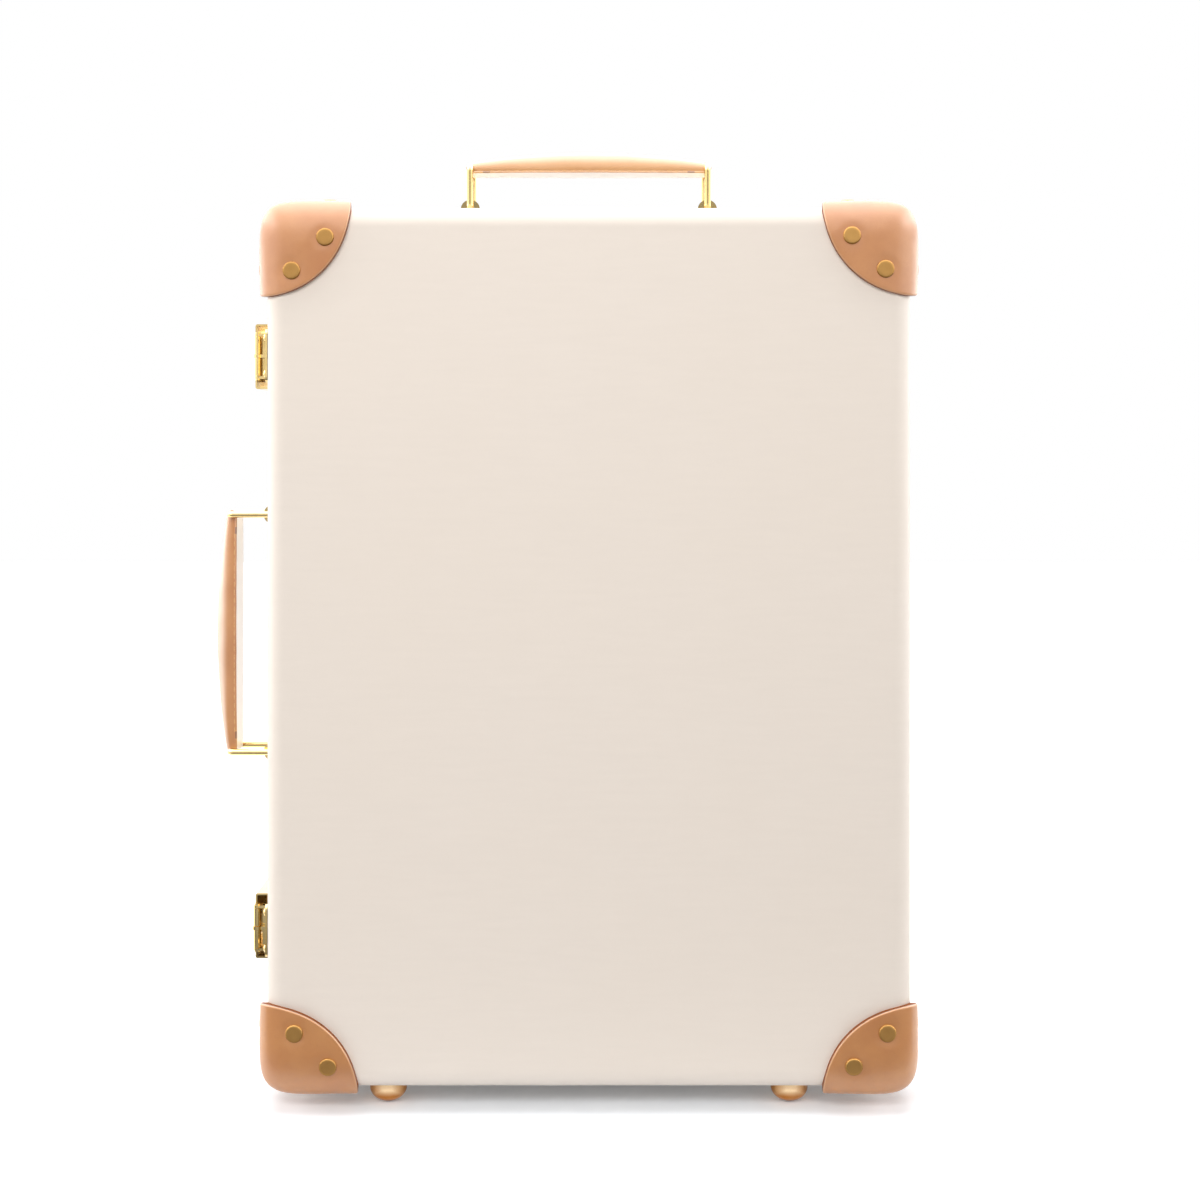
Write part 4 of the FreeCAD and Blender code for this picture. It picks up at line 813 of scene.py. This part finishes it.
# where a grip is darker: along the welt's groove, and in a patch low on each flank near the end
GROOVE_RISE, GROOVE_HALF, GROOVE_TONE = 1.2 * MM, 0.3 * MM, 0.9
NECK_PLACE, NECK_HALF, NECK_RISE, NECK_TONE = 10.6 * MM, 3.6 * MM, 1.3 * MM, 3
PAINTED_HIGHLIGHT_START = 1.4 * MM  # height on a grip where the painted highlight along its back begins
PAINTED_HIGHLIGHT_RISE = 4.5 * MM
# how strongly the painted highlight lies on the top grip and on the side grip
TOP_HIGHLIGHT, SIDE_HIGHLIGHT = 0.2, 0.75
WRINKLE_DEPTH, WRINKLE_SCALE = 0.12 * MM, 90
MIDDLE_LINE = 1e-6  # points nearer the middle than this stay on it
# Radius and place along a stitch in mm
STITCH = [(0.08, -1.75), (0.22, -1.55), (0.3, -1.0), (0.32, 0.0), (0.3, 1.0), (0.22, 1.55), (0.08, 1.75)]
STITCH_STEPS = 10
STITCH_PITCH, STITCH_INSET = 5.2 * MM, 0.4 * MM
STITCHED_SHARE = 0.86  # of the way from the middle to a loop bar


def grip_swell(station):
    """How full a grip is at a place from -1 to 1 along it."""
    return max(math.cos(station * math.pi / 2), 0.0) ** SWELL_POWER


def grip_half(swell):
    return GRIP_END_HALF + (GRIP_MID_HALF - GRIP_END_HALF) * swell


def grip_half_section(half, crown):
    """(across, height above the bar) points from the middle of the underside up to the middle of the top."""
    low = -GRIP_EYE
    points = [(share * half, low) for share in UNDER_SHARES]
    points += [(half - inset * MM, low + rise * MM) for inset, rise in WELT]
    middle = low + SHOULDER_RISE
    for step in range(SHOULDER_STEPS + 1):
        angle = step / SHOULDER_STEPS * math.pi / 2
        across = (half - SHOULDER_INSET) * max(math.cos(angle), 0.0) ** SHOULDER_ACROSS
        points.append((across, middle + (crown - middle) * math.sin(angle) ** SHOULDER_UP))
    return points


def grip_loop(x, half, crown, squeeze):
    right = grip_half_section(half, crown)
    left = [(-across, height) for across, height in reversed(right[1:-1])]
    return [(x, across, height * squeeze) for across, height in right + left]


def eye_loop(x, squeeze):
    """A section where a grip closes over a loop bar."""
    return grip_loop(x, GRIP_END_HALF - EYE_DRAW * (1 - squeeze), GRIP_EYE, squeeze)


def grip_loops():
    """Sections along a grip, rounded over the loop bar at each end."""
    ends = []
    for row in range(EYE_ROWS):
        angle = (1 - row / EYE_ROWS) * math.pi / 2 * EYE_TURN
        ends.append((HANDLE_SPAN + EYE_WRAP * math.sin(angle), math.cos(angle)))
    loops = [eye_loop(-x, squeeze) for x, squeeze in ends]
    for row in range(GRIP_ROWS + 1):
        station = 2 * row / GRIP_ROWS - 1
        swell = grip_swell(station)
        crown = GRIP_EYE + (GRIP_CROWN - GRIP_EYE) * swell
        loops.append(grip_loop(station * HANDLE_SPAN, grip_half(swell), crown, 1.0))
    loops += [eye_loop(x, squeeze) for x, squeeze in reversed(ends)]
    return loops


def grip_edge_share(x, across, height):
    """Share of darkening: along the welt's groove, and in a patch low on each flank near the end."""
    if abs(across) < FLANK_SHARE * GRIP_END_HALF:
        return 0.0
    rise = height + GRIP_EYE
    groove = GROOVE_TONE * (1 - abs(rise - GROOVE_RISE) / GROOVE_HALF)
    end = 1 - abs(HANDLE_SPAN - abs(x) - NECK_PLACE) / NECK_HALF
    low = 1 - rise / NECK_RISE
    return max(min(1.0, NECK_TONE * min(end, low)), groove, 0.0)


def stitch_at(x, across, seat):
    """The move that lays a stitch in a grip's groove."""
    height = GRIP_BAR - GRIP_EYE + GROOVE_RISE
    return lambda vertex: seat((x + vertex[2], across + vertex[0], height + vertex[1]))


def stitches(name, seat):
    """A row of saddle stitches in the groove above each lower edge."""
    moves = []
    count = int(HANDLE_SPAN * STITCHED_SHARE / STITCH_PITCH)
    for number in range(-count, count + 1):
        x = number * STITCH_PITCH
        edge = grip_half(grip_swell(x / HANDLE_SPAN)) - STITCH_INSET
        moves += [stitch_at(x, side * edge, seat) for side in (-1, 1)]
    vertices, faces = turned(in_metres(STITCH), STITCH_STEPS)
    return new_object(name, *repeated(vertices, faces, moves), [THREAD])


def make_grip(name, body, node, leather, highlight_share, seat):
    """A filled leather grip with a painted highlight along its back, and its stitches."""
    shaped, edge, painted_light = [], [], []
    for loop in grip_loops():
        row = []
        for x, across, height in loop:
            wrinkle = WRINKLE_DEPTH * noise.noise(Vector((x, across, height)) * WRINKLE_SCALE)
            side = math.copysign(1.0, across) if abs(across) > MIDDLE_LINE else 0.0
            row.append(seat((x, across + side * wrinkle, GRIP_BAR + height + wrinkle)))
            edge.append(grip_edge_share(x, across, height))
            # painted highlight along the grip's back, growing with height
            painted_light.append(highlight_share * smooth_step((height - PAINTED_HIGHLIGHT_START) / PAINTED_HIGHLIGHT_RISE))
        shaped.append(row)
    vertices, faces = loft(shaped)
    count = len(shaped[0])
    under = {index % count for index in range(-UNDERSIDE + 1, UNDERSIDE)}
    below = [1 if len(face) == 4 and all(index % count in under for index in face) else 0 for face in faces]
    # the underside faces take the near-white leather, painted light
    piece = new_object(name, vertices, faces, [leather, PALE_LEATHER_PAINTED_LIGHT], below)
    add_values(piece, "edge", edge)
    add_values(piece, "painted_light", painted_light)
    place(piece, body, "leather", node)
    place(stitches(name + "_stitches", seat), body, "leather")


def on_top_wall(point):
    along, across, out = point
    return along, across, TOP + out


def on_left_wall(point):
    along, across, out = point
    return -HALF_WIDTH - out, across, LEVEL + along


def make_grips():
    make_grip("top_grip_leather", "top_grip", "top_handle_grip", GRIP_LEATHER, TOP_HIGHLIGHT, on_top_wall)
    make_grip("side_grip_leather", "side_grip", "side_handle_grip", SIDE_LEATHER, SIDE_HIGHLIGHT, on_left_wall)


# Linings

LINING_INSET = 4.2 * MM
LINING_STEP = 4 * MM
LINING_SHARP = math.radians(70)
WALL_RINGS, FOOT_RINGS, FLOOR_RINGS = 12, 12, 44
# Mouth, floor and foot radius of the cloth in each tray
LID_CLOTH = (-54.3 * MM, -92.3 * MM, 10 * MM)
BASE_CLOTH = (-17.7 * MM, 62.4 * MM, 6 * MM)
BULGE_SLOPE = 7 * MM
WELL_BULGE, WELL_BULGE_HALF, WELL_BULGE_TOP = 22.5 * MM, 17.5 * MM, 58 * MM
CUP_BULGE, CUP_BULGE_HALF, CUP_BULGE_FOOT = 14 * MM, 99 * MM, 520.9 * MM
BROAD_SCALE, BROAD_STRETCH = 14, 2
FINE_SCALE, FINE_SHARE = 60, 0.35
RIPPLE_ACROSS, RIPPLE_IN = 0.0016, 0.45 * MM


def dense_outline(inset):
    """Points round the case's walls at an even spacing."""
    corners = wall_outline(inset)
    points = []
    for (x, z), (next_x, next_z) in zip(corners, corners[1:] + corners[:1]):
        parts = max(1, round(math.hypot(next_x - x, next_z - z) / LINING_STEP))
        for part in range(parts):
            points.append((x + (next_x - x) * part / parts, z + (next_z - z) * part / parts))
    return points


def within(value, limit):
    """1 up to a limit, easing to 0 beyond it."""
    return smooth_step((limit + BULGE_SLOPE - value) / BULGE_SLOPE)


def base_bulge(x, z):
    """How far the base's lining stands in over the wheel wells and the handle cup."""
    well = within(abs(abs(x) - WHEEL_X), WELL_BULGE_HALF) * within(z, WELL_BULGE_TOP)
    cup = within(abs(x), CUP_BULGE_HALF) * within(-z, -CUP_BULGE_FOOT)
    return max(WELL_BULGE * well, CUP_BULGE * cup)


def make_lining(name, body, node, mouth, floor, foot, bulge):
    """Cloth glued into a tray: walls, rounded foot and floor, with a few soft ripples."""
    inward = 1 if mouth > floor else -1
    outline = dense_outline(LINING_INSET)
    drop = floor + inward * foot - mouth
    rings = [(0.0, 1.0, mouth + drop * step / WALL_RINGS) for step in range(WALL_RINGS)]
    for step in range(FOOT_RINGS + 1):
        angle = step / FOOT_RINGS * math.pi / 2
        rings.append((foot * (1 - math.cos(angle)), 1.0, floor + inward * foot * (1 - math.sin(angle))))
    rings += [(foot, 1 - step / FLOOR_RINGS, floor) for step in range(1, FLOOR_RINGS)]
    loops = []
    for inset, scale, depth in rings:
        loop = []
        for x, z in outline:
            flat_x = x * (1 - inset / HALF_WIDTH) * scale
            flat_z = MIDDLE + (z - MIDDLE) * (1 - inset / HALF_HEIGHT) * scale
            broad = noise.noise(Vector((flat_x, depth * BROAD_STRETCH, flat_z)) * BROAD_SCALE)
            fine = noise.noise(Vector((flat_x, depth, flat_z)) * FINE_SCALE)
            ripple = broad + FINE_SHARE * fine
            stand = floor + inward * bulge(flat_x, flat_z)
            y = max(depth, stand) if inward > 0 else min(depth, stand)
            y += inward * RIPPLE_IN * max(ripple, 0.0)
            loop.append((flat_x * (1 - RIPPLE_ACROSS * ripple), y, flat_z))
        loops.append(loop)
    piece = new_object(name, *loft(loops, False), [LINING], sharp=LINING_SHARP)
    shaped = bmesh.new()
    shaped.from_mesh(piece.data)
    shaped.verts.ensure_lookup_table()
    count = len(outline)
    shaped.faces.new([shaped.verts[(len(loops) - 1) * count + column] for column in range(count)])
    bmesh.ops.recalc_face_normals(shaped, faces=shaped.faces)
    shaped.to_mesh(piece.data)
    shaped.free()
    place(piece, body, "lining", node)


def make_linings():
    make_lining("lid_cloth", "lid", "lid_lining", *LID_CLOTH, lambda x, z: 0.0)
    make_lining("base_cloth", "base", "base_lining", *BASE_CLOTH, base_bulge)


# Draw tubes

# Radius and height in mm, round the wall of a tube
LOWER_TUBE = [(5.8, 100.0), (6.9, 100.0), (6.9, 525.6), (7.6, 526.0), (8.0, 526.4), (8.0, 530.4),
              (7.6, 531.0), (5.8, 531.0), (5.8, 100.0)]
UPPER_TUBE = [(4.3, 104.0), (5.5, 104.0), (5.5, 540.0), (4.3, 540.0), (4.3, 104.0)]
TUBE_STEPS = 56


def make_tubes():
    for name, profile in (("lower", LOWER_TUBE), ("upper", UPPER_TUBE)):
        vertices, faces = turned(in_metres(profile), TUBE_STEPS, False)
        pair = copies(name + "_draw_tubes", vertices, faces, upright_pair(TUBE_X, TUBE_Y), ALUMINIUM)
        place(pair, "trolley_" + name, "tube", "trolley_" + name + "_tubes")


# Stage

FLOOR_HALF = 6
SHADOW_HALF_X, SHADOW_HALF_Y = 0.15, 0.045  # distances on the floor start here
# Each change of tone as (from, to), or (from, to, first tone, last tone)
FLOOR_FADE = (0.07, 0.2)
NEAR_GLOW, FAR_GLOW = (0.0, 0.05, 0.14, 0.25), (0.062, 0.122, 0.0, 0.75)
DARK_START, DARK_END = (-0.1, -0.15, 0.0, 0.85), (-0.45, -0.8, 0.0, 0.28)


def make_stage():
    """A pale floor, shadowed near the case, white away from it and darker in reflections."""
    corners = [(x * FLOOR_HALF, y * FLOOR_HALF, 0) for x, y in ((-1, -1), (1, -1), (1, 1), (-1, 1))]
    floor = new_object("floor", corners, [(0, 1, 2, 3)], [])
    look = Finish("floor", srgb(236, 236, 236), 0.9)
    mirrored = look.ray("Glossy")
    seen = look.larger(look.larger(look.ray("Camera"), mirrored), look.ray("Transmission"))
    x, y, _ = look.split(look.coordinates)
    away = look.larger(look.beyond(x, SHADOW_HALF_X), look.beyond(y, SHADOW_HALF_Y))
    color = look.blend(look.levels(away, *FLOOR_FADE), srgb(234, 238, 243), srgb(173, 173, 173))
    look.finish(Base_Color=color)
    strength = look.math("ADD", look.levels(away, *NEAR_GLOW), look.levels(away, *FAR_GLOW))
    glow = look.node("Emission", 0, {"Strength": look.product(seen, strength)})
    lit = look.node("AddShader", 0, {0: look.shader.outputs[0], 1: glow})
    dark_room = look.math("SUBTRACT", look.levels(y, *DARK_START), look.levels(y, *DARK_END))
    dark = look.node("Emission", 0, {"Strength": 0.0})
    shown = look.node("MixShader", 0, {0: look.product(mirrored, dark_room), 1: lit, 2: dark})
    look.set(look.tree.nodes["Material Output"], {"Surface": shown})
    floor.data.materials.append(look.material)


WORLD_LIGHT = 0.09  # light from all round
# What a reflection finds in each direction of the room, with its changes of tone as on the stage
FACING = (-0.2, -0.6)
VIEWER_SIDES, VIEWER_TOP = (0.16, 0.06), (0.35, 0.2)
BELOW_SIDES, BELOW_TOP = (0.28, 0.2), (0.02, -0.01)
STRIP_FOOT, STRIP_TOP, STRIP_SIDES = (0.095, 0.11), (0.165, 0.15), (0.68, 0.5, 0.0, 0.9)
VIEWER_TONE = (0.0, 1.0, 1.0, 0.25)
BAND_FOOT, BAND_TOP, BAND_FRONT = (-0.16, -0.08), (0.12, 0.06, 0.0, 3.4), (-0.3, 0.1, 0.3, 1.0)
SIDE_BOX, SIDE_EDGE = (0.2, 0.4, 0.3, 4.2), (0.5, 0.75)
TOP_BOX = (0.3, 0.95, 0.0, 3.2)
BACK_WALL, BACK_FOOT = (0.3, 0.6), (0.02, 0.1, 0.0, 0.8)
FRONT_FOOT, FRONT_TOP, FRONT_TONE = (-0.1, 0.0), (0.12, 0.08), 0.3


def make_world():
    """Even light, seen as white, while reflections find lit boxes and a dark strip towards the viewer."""
    world = bpy.data.worlds.new("studio")
    world.use_nodes = True
    world.cycles.sampling_method = "NONE"
    bpy.context.scene.world = world
    room = Nodes(world.node_tree)
    east, north, up = room.split(room.node("TexCoord", "Generated", {}))
    sideways = room.size(east)
    facing = room.levels(north, *FACING)
    viewer = room.product(room.levels(sideways, *VIEWER_SIDES), room.levels(up, *VIEWER_TOP))
    below = room.product(room.levels(sideways, *BELOW_SIDES), room.levels(up, *BELOW_TOP))
    strip = room.product(room.band(up, STRIP_FOOT, STRIP_TOP), room.levels(sideways, *STRIP_SIDES))
    viewer = room.product(room.larger(room.larger(viewer, below), strip), facing)
    shade = room.levels(viewer, *VIEWER_TONE)
    low_band = room.product(room.band(up, BAND_FOOT, BAND_TOP), room.levels(north, *BAND_FRONT))
    beside = room.math("ADD", low_band, room.levels(up, *SIDE_BOX))
    boxes = room.larger(room.levels(up, *TOP_BOX), room.product(room.levels(sideways, *SIDE_EDGE), beside))
    wall = room.product(room.levels(north, *BACK_WALL), room.levels(up, *BACK_FOOT))
    front = room.product(room.band(up, FRONT_FOOT, FRONT_TOP), room.product(facing, FRONT_TONE))
    for lit in (boxes, wall, front):
        shade = room.math("ADD", shade, lit)
    seen = room.mix(room.ray("Camera"), shade, 1.0)
    strength = room.mix(room.ray("Diffuse"), seen, WORLD_LIGHT)
    room.set(room.tree.nodes["Background"], {"Color": (1, 1, 1, 1), "Strength": strength})


def add_softbox(name, position, target, size, power):
    lamp = bpy.data.lights.new(name, "AREA")
    lamp.shape = "RECTANGLE"
    lamp.size, lamp.size_y = size
    lamp.energy = power
    holder = add_object(name, lamp)
    holder.location = position
    holder.rotation_euler = (Vector(target) - Vector(position)).to_track_quat("-Z", "Y").to_euler()
    holder.visible_glossy = False


def make_lights():
    middle, side = (0, 0, 0.3), (1.6, 1.8)
    add_softbox("key", position=(-0.25, -1.8, 1.2), target=(0, -0.1, 0.4), size=(1.5, 0.6), power=26)
    add_softbox("overhead", position=(-0.1, 0.15, 2.1), target=middle, size=(2.0, 1.8), power=44)
    add_softbox("left", position=(-1.9, 0.2, 0.7), target=middle, size=side, power=29)
    add_softbox("right", position=(1.9, 0.1, 0.7), target=middle, size=side, power=25)


def make_camera():
    """The photograph's frame: level, straight on, with the view shifted down."""
    lens = bpy.data.cameras.new("camera")
    lens.sensor_width = 36
    lens.lens = 62.0
    lens.shift_x = 0.0093
    lens.shift_y = -0.1258
    camera = add_object("camera", lens)
    camera.location = (0, -1346.5 * MM, 403 * MM)
    camera.rotation_euler = (math.radians(90), 0, 0)
    bpy.context.scene.camera = camera


dress_solids()
make_trays()
make_corners()
make_feet()
make_fitting_rivets()
make_grips()
make_linings()
make_tubes()
make_stage()
make_world()
make_lights()
make_camera()
bpy.context.scene.view_settings.view_transform = "Standard"
